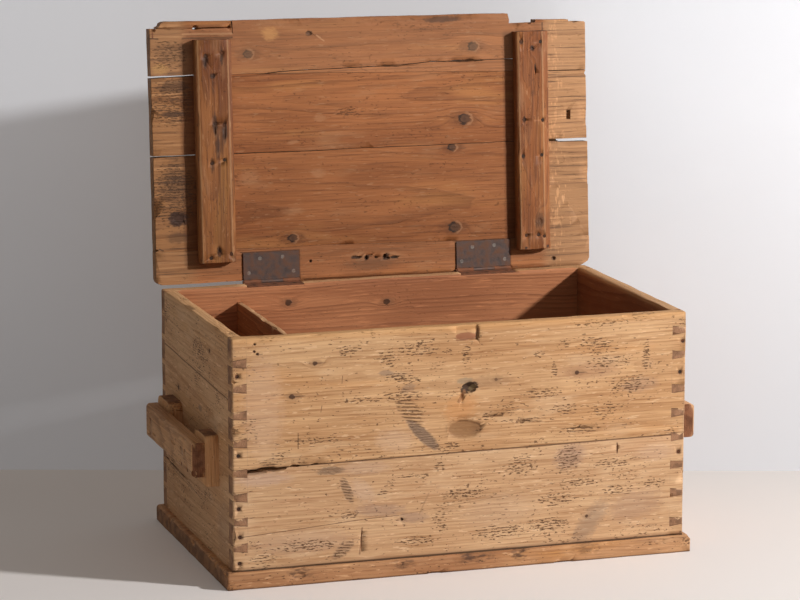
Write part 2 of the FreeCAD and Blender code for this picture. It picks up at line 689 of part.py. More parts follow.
def lid_split():
    """The long split that runs out of the joint into the front edge board."""
    half = SPLIT_WIDE / 2
    lower = [(x_of(u), v - half) for u, v in SPLIT_LINE]
    upper = [(x_of(u), v + half) for u, v in reversed(SPLIT_LINE)]
    return prism_y(lower + upper, -CUT_PAST, BOARD + CUT_PAST)


def strip_joint_wear():
    """The groove, the two worn holes and the open place along the let-in strip's joint."""
    tools = [pocket(STRIP_GROOVE), pocket(STRIP_OPEN)]
    for u, v, radius in STRIP_HOLES:
        start = Vector(x_of(u), -CUT_PAST, v)
        tools.append(Part.makeCylinder(radius, STRIP_GROOVE[2] + CUT_PAST, start, BACKWARDS))
    return tools


def lid_board_front():
    """The front edge board: a strip is let in at its left, and its right end has broken away."""
    left, right = NOTCH_US
    outline = list(HIGH_JOINT_OVER) + list(reversed(FRONT_EDGE))
    outline += [(right, LID_FRONT), (right, NOTCH_LOW), (left, NOTCH_LOW), *NOTCH_LEFT]
    board = eased_lid_ends(lid_plate(outline), LID_LEFT, LID_RIGHT)
    tools = [pocket(SAW_CUT), pocket(HIGH_JOINT_POCKET), lid_split()] + strip_joint_wear()
    return cut_all(board, tools + batten_nail_holes() + strip_nail_holes())


def edge_strips():
    """The let-in strip with its splintered left end, and what is left of one at the right."""
    let_in = [(NOTCH_US[0], STRIP_LOW), (STRIP_RIGHT, STRIP_LOW), (STRIP_RIGHT, LID_FRONT),
              *reversed(STRIP_LEFT_END)]
    left, right = REMNANT_US
    low = LID_BROKEN + REMNANT_FIT
    remnant = [(left, low), (right, low), (right - 1, low + REMNANT_HIGH[1]),
               (left + 1, low + REMNANT_HIGH[0])]
    holes = strip_nail_holes()
    return {"lid_edge_strip_left": cut_all(lid_plate(let_in), strip_joint_wear() + holes),
            "lid_edge_strip_right": cut_all(lid_plate(remnant), holes)}


def strip_nail(u, top, grow):
    """A thin headless nail driven down into the front edge. A hole is one grown a little."""
    past = 40 * grow
    start = Vector(x_of(u), BOARD / 2, top + past)
    return Part.makeCylinder(STRIP_NAIL_R + grow, STRIP_NAIL_LONG + past + grow, start, DOWN)


def strip_nail_holes():
    return [strip_nail(u, top, SHANK_FIT) for u, top in STRIP_NAILS]


def batten(spans, bevels):
    """A batten across the inside of the lid, with the long edges of its outer face planed off."""
    (left, right), (low, high) = spans
    (left_across, left_deep), (right_across, right_deep) = bevels
    section = [(left, 0), (right, 0), (right, right_deep - BATTEN_THICK),
               (right - right_across, -BATTEN_THICK), (left + left_across, -BATTEN_THICK),
               (left, left_deep - BATTEN_THICK)]
    corners = [Vector(x_of(u), w, low) for u, w in section]
    wire = Part.makePolygon(corners + corners[:1])
    shape = Part.Face(wire).extrude(Vector(0, 0, high - low))
    shape = rounded(shape, BATTEN_EASE,
                    lambda p: (near(p.z, low) or near(p.z, high)) and p.y < -CUT_PAST)
    return cut_all(shape, batten_nail_holes())


def batten_nails_at():
    return [Vector(x_of(u), -BATTEN_THICK + NAIL_SUNK, v) for u, v in BATTEN_NAILS]


def batten_nail_holes():
    return nail_holes(batten_nails_at(), BACKWARDS, BATTEN_NAIL_LONG)


# ---------------------------------------------------------------- hinges

def upper_screws_at():
    heads = []
    for u in HINGE_US:
        heads += [Vector(x_of(u + across), -LEAF_THICK, v) for across, v in UPPER_SCREWS]
    return heads


def upper_screw_holes():
    return screw_holes(upper_screws_at(), BACKWARDS, UPPER_SCREW_LONG)


def upper_leaf(u):
    """The leaf on the lid's inside face, with the middle knuckle. In the lid's plane."""
    middle = x_of(u)
    half = LEAF_LONG / 2
    half_knuckle = MIDDLE_KNUCKLE / 2
    plate_low = KNUCKLE_R - LID_EDGE_FROM_AXIS + KNUCKLE_CLEAR
    plate = block(middle - half, middle + half, -LEAF_THICK, 0, plate_low, UPPER_LEAF_HIGH)
    plate = rounded(plate, LEAF_CORNER,
                    lambda p: near(p.z, UPPER_LEAF_HIGH) and near(abs(p.x - middle), half))
    neck = block(middle - half_knuckle, middle + half_knuckle, -LEAF_THICK, 0,
                 -LID_EDGE_FROM_AXIS, plate_low + KNUCKLE_CLEAR)
    start = Vector(middle - half_knuckle, -LID_FACE_FROM_AXIS, -LID_EDGE_FROM_AXIS)
    knuckle = Part.makeCylinder(KNUCKLE_R, MIDDLE_KNUCKLE, start, ALONG_X)
    bore = Part.makeCylinder(PIN_R + PIN_RUN, MIDDLE_KNUCKLE, start, ALONG_X)
    leaf = plate.fuse(neck).fuse(knuckle).cut(bore)
    return cut_all(leaf.removeSplitter(), upper_screw_holes())


def lower_leaf(u):
    """The leaf let in flush with the back board's top, with the two outer knuckles."""
    middle = x_of(u)
    half = LEAF_LONG / 2
    inner_end = MIDDLE_KNUCKLE / 2 + KNUCKLE_CLEAR
    knuckle_long = half - inner_end
    leaf = block(middle - half, middle + half, INSIDE_Y, AXIS_Y, TOP_Z - LEAF_THICK, TOP_Z)
    room = block(middle - inner_end, middle + inner_end, AXIS_Y - KNUCKLE_R - KNUCKLE_CLEAR,
                 AXIS_Y + CUT_PAST, TOP_Z - LEAF_THICK - CUT_PAST, TOP_Z + CUT_PAST)
    leaf = leaf.cut(room)
    for x in (middle - half, middle + inner_end):
        knuckle = Part.makeCylinder(KNUCKLE_R, knuckle_long, Vector(x, AXIS_Y, AXIS_Z), ALONG_X)
        leaf = leaf.fuse(knuckle)
    bore = Part.makeCylinder(PIN_R, LEAF_LONG, Vector(middle - half, AXIS_Y, AXIS_Z), ALONG_X)
    return cut_all(leaf.cut(bore).removeSplitter(), lower_screw_holes())


def lower_leaf_recesses():
    """Recesses in the back board's top, open to the inside and to the back."""
    half = LEAF_LONG / 2 + LEAF_SIDE_GAP
    recesses = []
    for u in HINGE_US:
        recesses.append(block(x_of(u) - half, x_of(u) + half, INSIDE_Y - CUT_PAST,
                              HALF_DEPTH + CUT_PAST, TOP_Z - LEAF_THICK, TOP_Z + CUT_PAST))
    return recesses


def lower_screws_at():
    heads = []
    for u in HINGE_US:
        heads += [Vector(x_of(u + across), INSIDE_Y + LOWER_SCREW_IN, TOP_Z)
                  for across in LOWER_SCREWS]
    return heads


def lower_screw_holes():
    return screw_holes(lower_screws_at(), DOWN, LOWER_SCREW_LONG)


def hinge_pin(u):
    """A pin as long as the leaves, tight in the lower leaf's knuckles, with a head at its left."""
    start = Vector(x_of(u) - LEAF_LONG / 2 - PIN_PAST, AXIS_Y, AXIS_Z)
    shaft = Part.makeCylinder(PIN_R, LEAF_LONG + 2 * PIN_PAST, start, ALONG_X)
    head = Part.makeCylinder(PIN_HEAD_R, PIN_HEAD, start - ALONG_X * PIN_HEAD, ALONG_X)
    return shaft.fuse(head)


# ---------------------------------------------------------------- the whole chest

def box_nodes():
    ring = wall_ring()
    nodes = front_and_back_boards(ring)
    nodes.update(end_boards(ring))
    nodes.update(bottom_boards())
    nodes.update(till())
    nodes.update(corner_nails())
    nodes["bottom_board_nails"] = nails(bottom_nails_at(), UP, BOTTOM_NAIL_LONG)
    nodes.update(handle(-1, "left"))
    nodes.update(handle(1, "right"))
    return nodes


def lid_nodes():
    """Everything that turns with the lid, still in the lid's own plane."""
    nodes = {
        "lid_board_front": lid_board_front(),
        "lid_board_upper_middle": lid_board_upper_middle(),
        "lid_board_lower_middle": lid_board_lower_middle(),
        "lid_board_back": lid_board_back(),
        "lid_edge_nails": Part.makeCompound([strip_nail(u, top, 0.0) for u, top in STRIP_NAILS]),
        "lid_batten_left": batten(LEFT_BATTEN, LEFT_BATTEN_BEVELS),
        "lid_batten_right": batten(RIGHT_BATTEN, RIGHT_BATTEN_BEVELS),
        "lid_batten_nails": nails(batten_nails_at(), BACKWARDS, BATTEN_NAIL_LONG),
        "left_hinge_upper_leaf": upper_leaf(HINGE_US[0]),
        "right_hinge_upper_leaf": upper_leaf(HINGE_US[1]),
        "hinge_upper_screws": screws(upper_screws_at(), BACKWARDS, UPPER_SCREW_LONG),
    }
    nodes.update(edge_strips())
    return nodes


def build():
    """Every node of the chest, by name."""
    nodes = box_nodes()
    for name, shape in lid_nodes().items():
        nodes[name] = placed(shape)
    for label, u in (("left", HINGE_US[0]), ("right", HINGE_US[1])):
        nodes[label + "_hinge_lower_leaf"] = lower_leaf(u)
        nodes[label + "_hinge_pin"] = hinge_pin(u)
    nodes["hinge_lower_screws"] = screws(lower_screws_at(), DOWN, LOWER_SCREW_LONG)
    return nodes


os.makedirs("parts", exist_ok=True)
for name, shape in build().items():
    if not shape.isValid():
        print("not valid:", name)
    print(name, len(shape.Solids), round(shape.Volume / 1000.0, 1), "cm3")
    shape.exportStep("parts/" + name + ".step")
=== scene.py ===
import math

import bpy
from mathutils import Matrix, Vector


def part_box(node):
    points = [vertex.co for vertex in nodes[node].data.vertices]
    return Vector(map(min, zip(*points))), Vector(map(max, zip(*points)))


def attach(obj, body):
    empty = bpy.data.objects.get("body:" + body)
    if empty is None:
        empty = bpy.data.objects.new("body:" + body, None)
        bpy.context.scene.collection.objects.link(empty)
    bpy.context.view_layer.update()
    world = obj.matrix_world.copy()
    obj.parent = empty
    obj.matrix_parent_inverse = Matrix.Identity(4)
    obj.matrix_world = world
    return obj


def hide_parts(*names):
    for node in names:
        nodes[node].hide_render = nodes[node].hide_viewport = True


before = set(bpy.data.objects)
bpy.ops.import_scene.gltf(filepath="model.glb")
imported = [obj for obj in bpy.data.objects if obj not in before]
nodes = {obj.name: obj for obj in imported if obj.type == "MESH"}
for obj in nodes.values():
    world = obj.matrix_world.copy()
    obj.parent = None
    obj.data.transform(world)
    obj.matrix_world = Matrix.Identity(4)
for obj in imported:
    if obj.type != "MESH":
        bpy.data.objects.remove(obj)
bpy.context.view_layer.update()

# ---------------------------------------------------------------- front and back
# Two wide pine boards edge to edge make the front and two more the back. They are planed,
# scrubbed and sun-bleached outside, darker and redder inside, and are held at the corners by
# through dovetails. Places on a board are in metres: along the grain, then up.


class Value:
    """A number or colour that varies over a surface. Sums and products add Math nodes."""

    def __init__(self, finish, socket):
        self.finish = finish
        self.socket = socket

    def math(self, operation, first, second=0.0):
        return self.finish.node("ShaderNodeMath", {"operation": operation}, {0: first, 1: second})

    def __add__(self, other):
        return self.math("ADD", self, other)

    def __radd__(self, other):
        return self.math("ADD", other, self)

    def __sub__(self, other):
        return self.math("SUBTRACT", self, other)

    def __rsub__(self, other):
        return self.math("SUBTRACT", other, self)

    def __mul__(self, other):
        return self.math("MULTIPLY", self, other)

    def __rmul__(self, other):
        return self.math("MULTIPLY", other, self)

    def __truediv__(self, other):
        return self.math("DIVIDE", self, other)

    def squared(self):
        return self * self

    def size(self):
        return self.math("ABSOLUTE", self)

    def root(self):
        return self.math("SQRT", self)

    def either(self, other):
        return self.math("MAXIMUM", self, other)

    def rise(self, low, high):
        """0 at low and 1 at high, with a soft start and end. High may be the lower number."""
        return self.finish.node("ShaderNodeMapRange", {"interpolation_type": "SMOOTHSTEP"},
                                {"Value": self, "From Min": low, "From Max": high})


class Finish:
    """A material while it is being made. Its nodes are added by node()."""

    def __init__(self, name):
        self.material = bpy.data.materials.new(name)
        self.material.use_nodes = True
        self.tree = self.material.node_tree
        self.shader = self.tree.nodes["Principled BSDF"]

    def node(self, kind, settings, inputs, output=0):
        """Adds a node, sets it up, feeds its sockets and returns one of its outputs."""
        made = self.tree.nodes.new(kind)
        for name, value in settings.items():
            setattr(made, name, value)
        for name, value in inputs.items():
            if isinstance(value, Value):
                self.tree.links.new(value.socket, made.inputs[name])
            else:
                made.inputs[name].default_value = value
        return Value(self, made.outputs[output])

    def mix(self, share, under, over):
        """The colour under, covered by the colour over where share is 1."""
        return self.node("ShaderNodeMix", {"data_type": "RGBA"}, {0: share, 6: under, 7: over}, 2)

    def feed(self, socket, value):
        if isinstance(value, Value):
            self.tree.links.new(value.socket, self.shader.inputs[socket])
        else:
            self.shader.inputs[socket].default_value = value

    def close(self, colour, rough, height, deep):
        """Joins colour, roughness and surface height, deep metres from 0 to 1, to the shader."""
        self.feed("Base Color", colour)
        self.feed("Roughness", rough)
        self.shader.inputs["Specular IOR Level"].default_value = 0.2
        bump = self.node("ShaderNodeBump", {}, {"Height": height, "Distance": deep})
        self.feed("Normal", bump)
        return self.material


HALF_LONG = 0.45            # of the box outside, left to right
HALF_DEEP = 0.2675          # of the box outside, front to back
WALL = 0.028                # thickness of its boards
PIN_HALF = 0.0055           # of a dovetail pin's height, at the corner
PIN_FLARE = 0.003           # what that grows by through the wall
SCRIBED_PAST = 0.0005       # the scribed line lies so far past the pins


def rgb(red, green, blue):
    return (red, green, blue, 1.0)


def scaled(colour, by):
    return tuple(min(1.0, part * by) for part in colour[:3]) + (1.0,)


class Wood(Finish):
    """Sawn pine. a runs along the grain, b across the face, c into the board, in metres."""

    def __init__(self, name, grain, place=(HALF_LONG, HALF_DEEP, 0.0), turn=0.0, seed=0.0):
        super().__init__(name)
        spot = self.node("ShaderNodeTexCoord", {}, {}, "Object")
        spot = self.node("ShaderNodeMapping", {},
                         {"Vector": spot, "Location": place, "Rotation": (turn, 0, 0)})
        facing = self.node("ShaderNodeTexCoord", {}, {}, "Normal")
        letters = {}
        normals = {}
        for number, letter in enumerate("xyz"):
            letters[letter] = self.node("ShaderNodeSeparateXYZ", {}, {0: spot}, number)
            normals[letter] = self.node("ShaderNodeSeparateXYZ", {}, {0: facing}, number)
        self.a, self.b, self.c = (letters[letter] for letter in grain)
        self.normals = normals
        self.end = normals[grain[0]].size().rise(0.75, 0.95)
        self.abc = self.node("ShaderNodeCombineXYZ", {}, {0: self.a, 1: self.b, 2: self.c})
        self.flat = self.node("ShaderNodeCombineXYZ", {}, {0: self.a, 1: self.b})
        self.seed = seed
        self.ragged = self.noise((110, 220, 220), 3) * 2.2
        self.colour = rgb(0.5, 0.3, 0.15)
        self.height = self.noise((16, 420, 420), 3) * 0.5

    def noise(self, per_metre, detail=2.0, shift=0.0):
        """Noise of about -0.5 to 0.5 with that many waves to the metre along a, b and c."""
        off = self.seed + shift
        spot = self.node("ShaderNodeVectorMath", {"operation": "MULTIPLY_ADD"},
                         {0: self.abc, 1: per_metre, 2: (off, off * 0.7, off * 1.3)})
        return self.node("ShaderNodeTexNoise", {}, {"Vector": spot, "Scale": 1.0,
                                                    "Detail": detail}) - 0.5

    def vector(self, operation, first, second, third=(0.0, 0.0, 0.0), output=0):
        return self.node("ShaderNodeVectorMath", {"operation": operation},
                         {0: first, 1: second, 2: third}, output)

    def oval(self, at, reach, lean=0.0, edge=0.6, ragged=1.0):
        """1 inside an uneven oval patch and 0 outside it. A leaning one shifts as it rises."""
        wide, high = reach
        spot = self.vector("MULTIPLY_ADD", self.flat, (1.0 / wide, 1.0 / high, 0.0),
                           ((lean * at[1] - at[0]) / wide, -at[1] / high, 0.0))
        if lean:
            spot = self.vector("MULTIPLY_ADD", self.b, (-lean / wide, 0.0, 0.0), spot)
        far = self.vector("DOT_PRODUCT", spot, spot, output=1)
        far = self.math_add(far, self.ragged, ragged)
        return far.rise(1.0 + edge, 1.0 - edge)

    def math_add(self, value, other, share):
        """value + other * share in one node."""
        return self.node("ShaderNodeMath", {"operation": "MULTIPLY_ADD"},
                         {0: other, 1: share, 2: value})

    def line(self, start, end, wide):
        """1 along a straight scratch or crack, which swells and thins a little."""
        run = (end[0] - start[0], end[1] - start[1])
        length = run[0] ** 2 + run[1] ** 2
        share = self.vector("DOT_PRODUCT", self.flat,
                            (run[0] / length, run[1] / length, 0.0), output=1)
        passed = (start[0] * run[0] + start[1] * run[1]) / length
        share = self.node("ShaderNodeMath", {"operation": "SUBTRACT", "use_clamp": True},
                          {0: share, 1: passed})
        nearest = self.vector("MULTIPLY_ADD", share, (run[0], run[1], 0.0),
                              (start[0], start[1], 0.0))
        off = self.vector("DISTANCE", self.flat, nearest, output=1)
        return self.math_add(off, self.ragged, wide * 0.35).rise(wide * 0.75, wide * 0.2)

    def tint(self, share, colour):
        self.colour = self.mix(share, self.colour, colour)

    def patches(self, *rows):
        """Tints ovals. A row is a middle, a reach, a share, a colour and what else oval takes."""
        for at, reach, share, colour, *rest in rows:
            self.tint(self.oval(at, reach, *rest) * share, colour)

    def scratches(self, *rows):
        """Tints lines. A row is a start, an end, a width, a share and a colour."""
        for start, end, wide, share, colour in rows:
            self.tint(self.line(start, end, wide) * share, colour)

    def grain(self, tones, late, pith, apart, knots=(), contrast=0.5):
        """Soft differences between three tones, growth rings, streaks and fibres."""
        pale, brown, warm = tones
        blotch = self.noise((3, 10, 10), 4).rise(-0.14, 0.14)
        self.colour = self.mix(blotch, pale, brown)
        self.tint(self.noise((4, 24, 24), 3, 21.0).rise(0.02, 0.2) * 0.7, warm)
        sway = self.noise((1.6, 5, 5), 2, 3.1) * 0.05
        across = self.b - pith[0] + sway
        deep = self.c - pith[1] + self.a * pith[2]
        far = (across.squared() + deep.squared()).root()
        for at, radius in knots:
            oval = ((self.a - at[0]) / (radius * 4.5)).squared() \
                + ((self.b - at[1]) / (radius * 2.0)).squared()
            far = far + oval.math("EXPONENT", oval * -1.0) * (radius * 1.8)
        phase = far / apart + self.noise((9, 60, 60), 3, 7.7) * 0.8
        part = phase.math("FRACT", phase)
        whole = phase.math("FLOOR", phase)
        tone = self.node("ShaderNodeTexWhiteNoise", {"noise_dimensions": "1D"}, {"W": whole})
        ring = part.rise(0.25, 0.92) * part.rise(1.0, 0.94) * (0.15 + tone * 0.85)
        self.ring = ring
        self.tint(ring * contrast, late)
        streak = self.noise((1.8, 85, 85), 4, 5.5)
        self.tint(streak.rise(0.0, 0.22) * (contrast * 0.5), late)
        self.tint(streak.rise(-0.03, -0.22) * (contrast * 0.6), scaled(pale, 1.18))
        fibre = self.noise((9, 300, 300), 3, 1.3)
        self.tint(fibre.rise(0.02, 0.2) * (contrast * 1.1), late)
        self.tint(fibre.rise(-0.02, -0.2) * (contrast * 0.6), scaled(pale, 1.25))
        self.height = self.height + ring * 0.4 + fibre * 0.7

    def wear(self, dark, pale, amount=1.0):
        """Tiny dark pits, pale scrapes and rubbed places, here more and there less."""
        where = self.noise((7, 15, 15), 3, 12.0).rise(-0.02, 0.2)
        specks = (self.noise((130, 300, 300), 2, 31.0) + where * 0.07 - 0.185).rise(0.0, 0.03)
        self.tint(specks * (0.75 * amount), dark)
        scrapes = (self.noise((40, 230, 230), 3, 41.0) - where * 0.04 - 0.12).rise(0.0, 0.06)
        self.tint(scrapes * (0.55 * amount), scaled(pale, 1.12))
        rubbed = self.noise((10, 34, 34), 4, 61.0).rise(0.06, 0.24)
        self.tint(rubbed * (0.4 * amount), pale)
        self.height = self.height - specks * 0.8

    def add_knots(self, knots, core, halo, tail=1.0):
        """Small uneven knots in a dusky halo that is drawn out along the grain."""
        for at, radius in knots:
            along = (self.a - at[0]) / radius
            up = (self.b - at[1]) / radius
            dusk = (along / 3.6).squared() + (up / 1.8).squared() + self.ragged * 0.6
            self.tint(dusk.rise(1.3, 0.0) * 0.5, halo)
            streak = ((along - 2.4) / 3.0).squared() + (up / 0.3).squared() + self.ragged * 0.5
            self.tint(streak.rise(1.2, 0.3) * (0.6 * tail), core)
            far = (along / 1.15).squared() + up.squared() + self.ragged * 0.9
            self.tint(far.rise(1.35, 0.6) * 0.9, core)
            self.height = self.height + far.rise(1.2, 0.8) * 0.6

    def scratched(self, places):
        """1 in soft patches, and here and there besides. A patch is its middle, reach and lean."""
        where = self.noise((9, 18, 18), 2, 2.0).rise(0.06, 0.22) * 0.85
        for along, up, wide, high, lean in places:
            where = where.either(self.oval((along, up), (wide, high), lean, 0.9))
        return where

    def dashes(self, where, dark, strength=0.85, rows=0.0052):
        """Short dark pits along the grain in ragged rows, dense where the patch is 1."""
        row = (self.b + self.noise((18, 18, 18), 1, 4.4) * 0.012) / rows
        row = row.math("PINGPONG", row, 0.5) * 2.0
        cut = self.noise((120, 440, 440), 2, 2.2)
        pits = (cut + where * 0.29 + row * 0.17 - 0.41).rise(0.0, 0.06)
        self.tint(pits * strength, dark)
        self.height = self.height - pits * 1.4

    def stripes(self, where, dark, apart, strength=0.75):
        """Dark scraped lines along the grain, apart metres from one to the next."""
        wave = (self.b + self.noise((30, 30, 30), 1, 4.4) * 0.006 + self.a * 0.12) / apart
        part = wave.math("FRACT", wave)
        lines = part.rise(0.25, 0.5) * part.rise(0.95, 0.7) * where
        lines = lines * self.noise((120, 420, 420), 2, 6.6).rise(-0.22, 0.02)
        self.tint(lines * strength, dark)
        self.height = self.height - lines * 1.2

    def end_grain(self, colour, strength=0.85):
        """Board ends are greyer and darker, unevenly, with fine pores."""
        self.tint(self.end * strength, colour)
        uneven = self.noise((30, 45, 45), 2, 51.0).rise(-0.08, 0.14)
        self.tint(self.end * uneven * 0.7, scaled(colour, 0.5))
        pores = self.noise((500, 500, 500), 2, 8.8).rise(0.0, 0.25)
        self.tint(self.end * pores * 0.5, scaled(colour, 0.4))

    def pin_edges(self, from_corner, heights):
        """1 along the outlines of a corner's dovetail pins, on the face they come through."""
        half = from_corner * (PIN_FLARE / WALL) + PIN_HALF
        nearest = None
        for height in heights:
            gap = (self.b - height).size()
            nearest = gap if nearest is None else gap.math("MINIMUM", nearest, gap)
        outline = ((nearest - half).size() + self.ragged * 0.0007).rise(0.0014, 0.0002)
        return outline * from_corner.rise(WALL + 0.0007, WALL)

    def done(self, rough=0.62, deep=0.0009):
        rough_all = rough + self.noise((30, 120, 120), 2, 9.9) * 0.18
        return self.close(self.colour, rough_all, self.height, deep)


WORM_DARK = rgb(0.115, 0.052, 0.024)
RING_PINE = rgb(0.33, 0.15, 0.058)
PURPLE_GREY = rgb(0.33, 0.205, 0.15)
GREY_SCAR = rgb(0.25, 0.165, 0.115)
KNOT_CORE = rgb(0.07, 0.03, 0.016)
KNOT_HALO = rgb(0.3, 0.16, 0.08)
BLEACHED = rgb(0.7, 0.46, 0.27)
END_GREY = rgb(0.33, 0.165, 0.088)
PIN_DARK = rgb(0.085, 0.034, 0.018)
INSIDE_RED = rgb(0.36, 0.145, 0.063)
INSIDE_BROWN = rgb(0.26, 0.095, 0.04)
PIN_HEIGHTS_LEFT = (0.426, 0.379, 0.328, 0.276, 0.219, 0.173, 0.127, 0.077)
PIN_HEIGHTS_RIGHT = (0.437, 0.389, 0.323, 0.276, 0.228, 0.173, 0.118, 0.06)
CORNER_NAILS = ((0.01, 0.402), (0.011, 0.253), (0.011, 0.152), (0.013, 0.098), (0.012, 0.048),
                (0.893, 0.415), (0.888, 0.355), (0.888, 0.198))


def inside_face(wood, inwards, bright=1.0):
    """The inside of a wall board is darker and redder than its outside."""
    inner = inwards.rise(0.3, 0.8)
    tones = wood.mix(wood.noise((3, 14, 14), 3).rise(-0.15, 0.15),
                     scaled(INSIDE_RED, bright), scaled(INSIDE_BROWN, bright))
    wood.tint(inner, tones)
    wood.tint(inner * wood.ring * 0.6, scaled(rgb(0.13, 0.045, 0.02), bright))
    wood.tint(inner * wood.noise((20, 200, 200), 3, 71.0).rise(0.08, 0.2) * 0.35,
              scaled(INSIDE_RED, bright * 1.5))
    return inner


def mark_corners(wood, low, high):
    """The pins' outlines, the line they were scribed from, and rust about the nails."""
    right = 2.0 * HALF_LONG - wood.a
    broken = wood.noise((30, 25, 25), 2, 33.0).rise(-0.16, 0.12)
    wood.tint(wood.pin_edges(wood.a, PIN_HEIGHTS_LEFT) * broken * 0.85, PIN_DARK)
    wood.tint(wood.pin_edges(right, PIN_HEIGHTS_RIGHT) * broken * 0.85, PIN_DARK)
    for side in (wood.a, right):
        scribed = (side - (WALL + SCRIBED_PAST)).size().rise(0.0012, 0.0003)
        wood.tint(scribed * broken * 0.2, GREY_SCAR)
        wood.tint(side.rise(0.006, 0.0) * broken * 0.4, GREY_SCAR)
    for at in [at for at in CORNER_NAILS if low < at[1] < high]:
        wood.tint(wood.oval(at, (0.0062, 0.0048), 0.0, 0.8, 0.6) * 0.6, rgb(0.15, 0.06, 0.03))


UPPER_SCRATCHES = (
    (0.36, 0.432, 0.045, 0.016, 0.0), (0.224, 0.438, 0.026, 0.012, 0.0),
    (0.3, 0.42, 0.02, 0.02, 0.0), (0.33, 0.38, 0.034, 0.012, -1.2),
    (0.25, 0.342, 0.05, 0.007, 0.0), (0.455, 0.415, 0.012, 0.024, 0.0),
    (0.651, 0.424, 0.014, 0.012, 0.5), (0.6, 0.408, 0.012, 0.009, 0.0),
    (0.632, 0.376, 0.007, 0.016, 0.0), (0.733, 0.46, 0.06, 0.008, 0.0),
    (0.72, 0.418, 0.045, 0.02, -0.8), (0.785, 0.338, 0.045, 0.022, 0.5),
    (0.818, 0.395, 0.008, 0.035, 0.0), (0.61, 0.333, 0.045, 0.012, 0.0),
    (0.655, 0.298, 0.03, 0.012, 0.0), (0.57, 0.281, 0.05, 0.006, 0.0),
    (0.68, 0.257, 0.05, 0.009, 0.0), (0.155, 0.272, 0.06, 0.007, 0.0),
    (0.42, 0.243, 0.03, 0.006, 0.0), (0.33, 0.345, 0.05, 0.012, 0.0),
    (0.745, 0.385, 0.05, 0.014, 0.0),
)


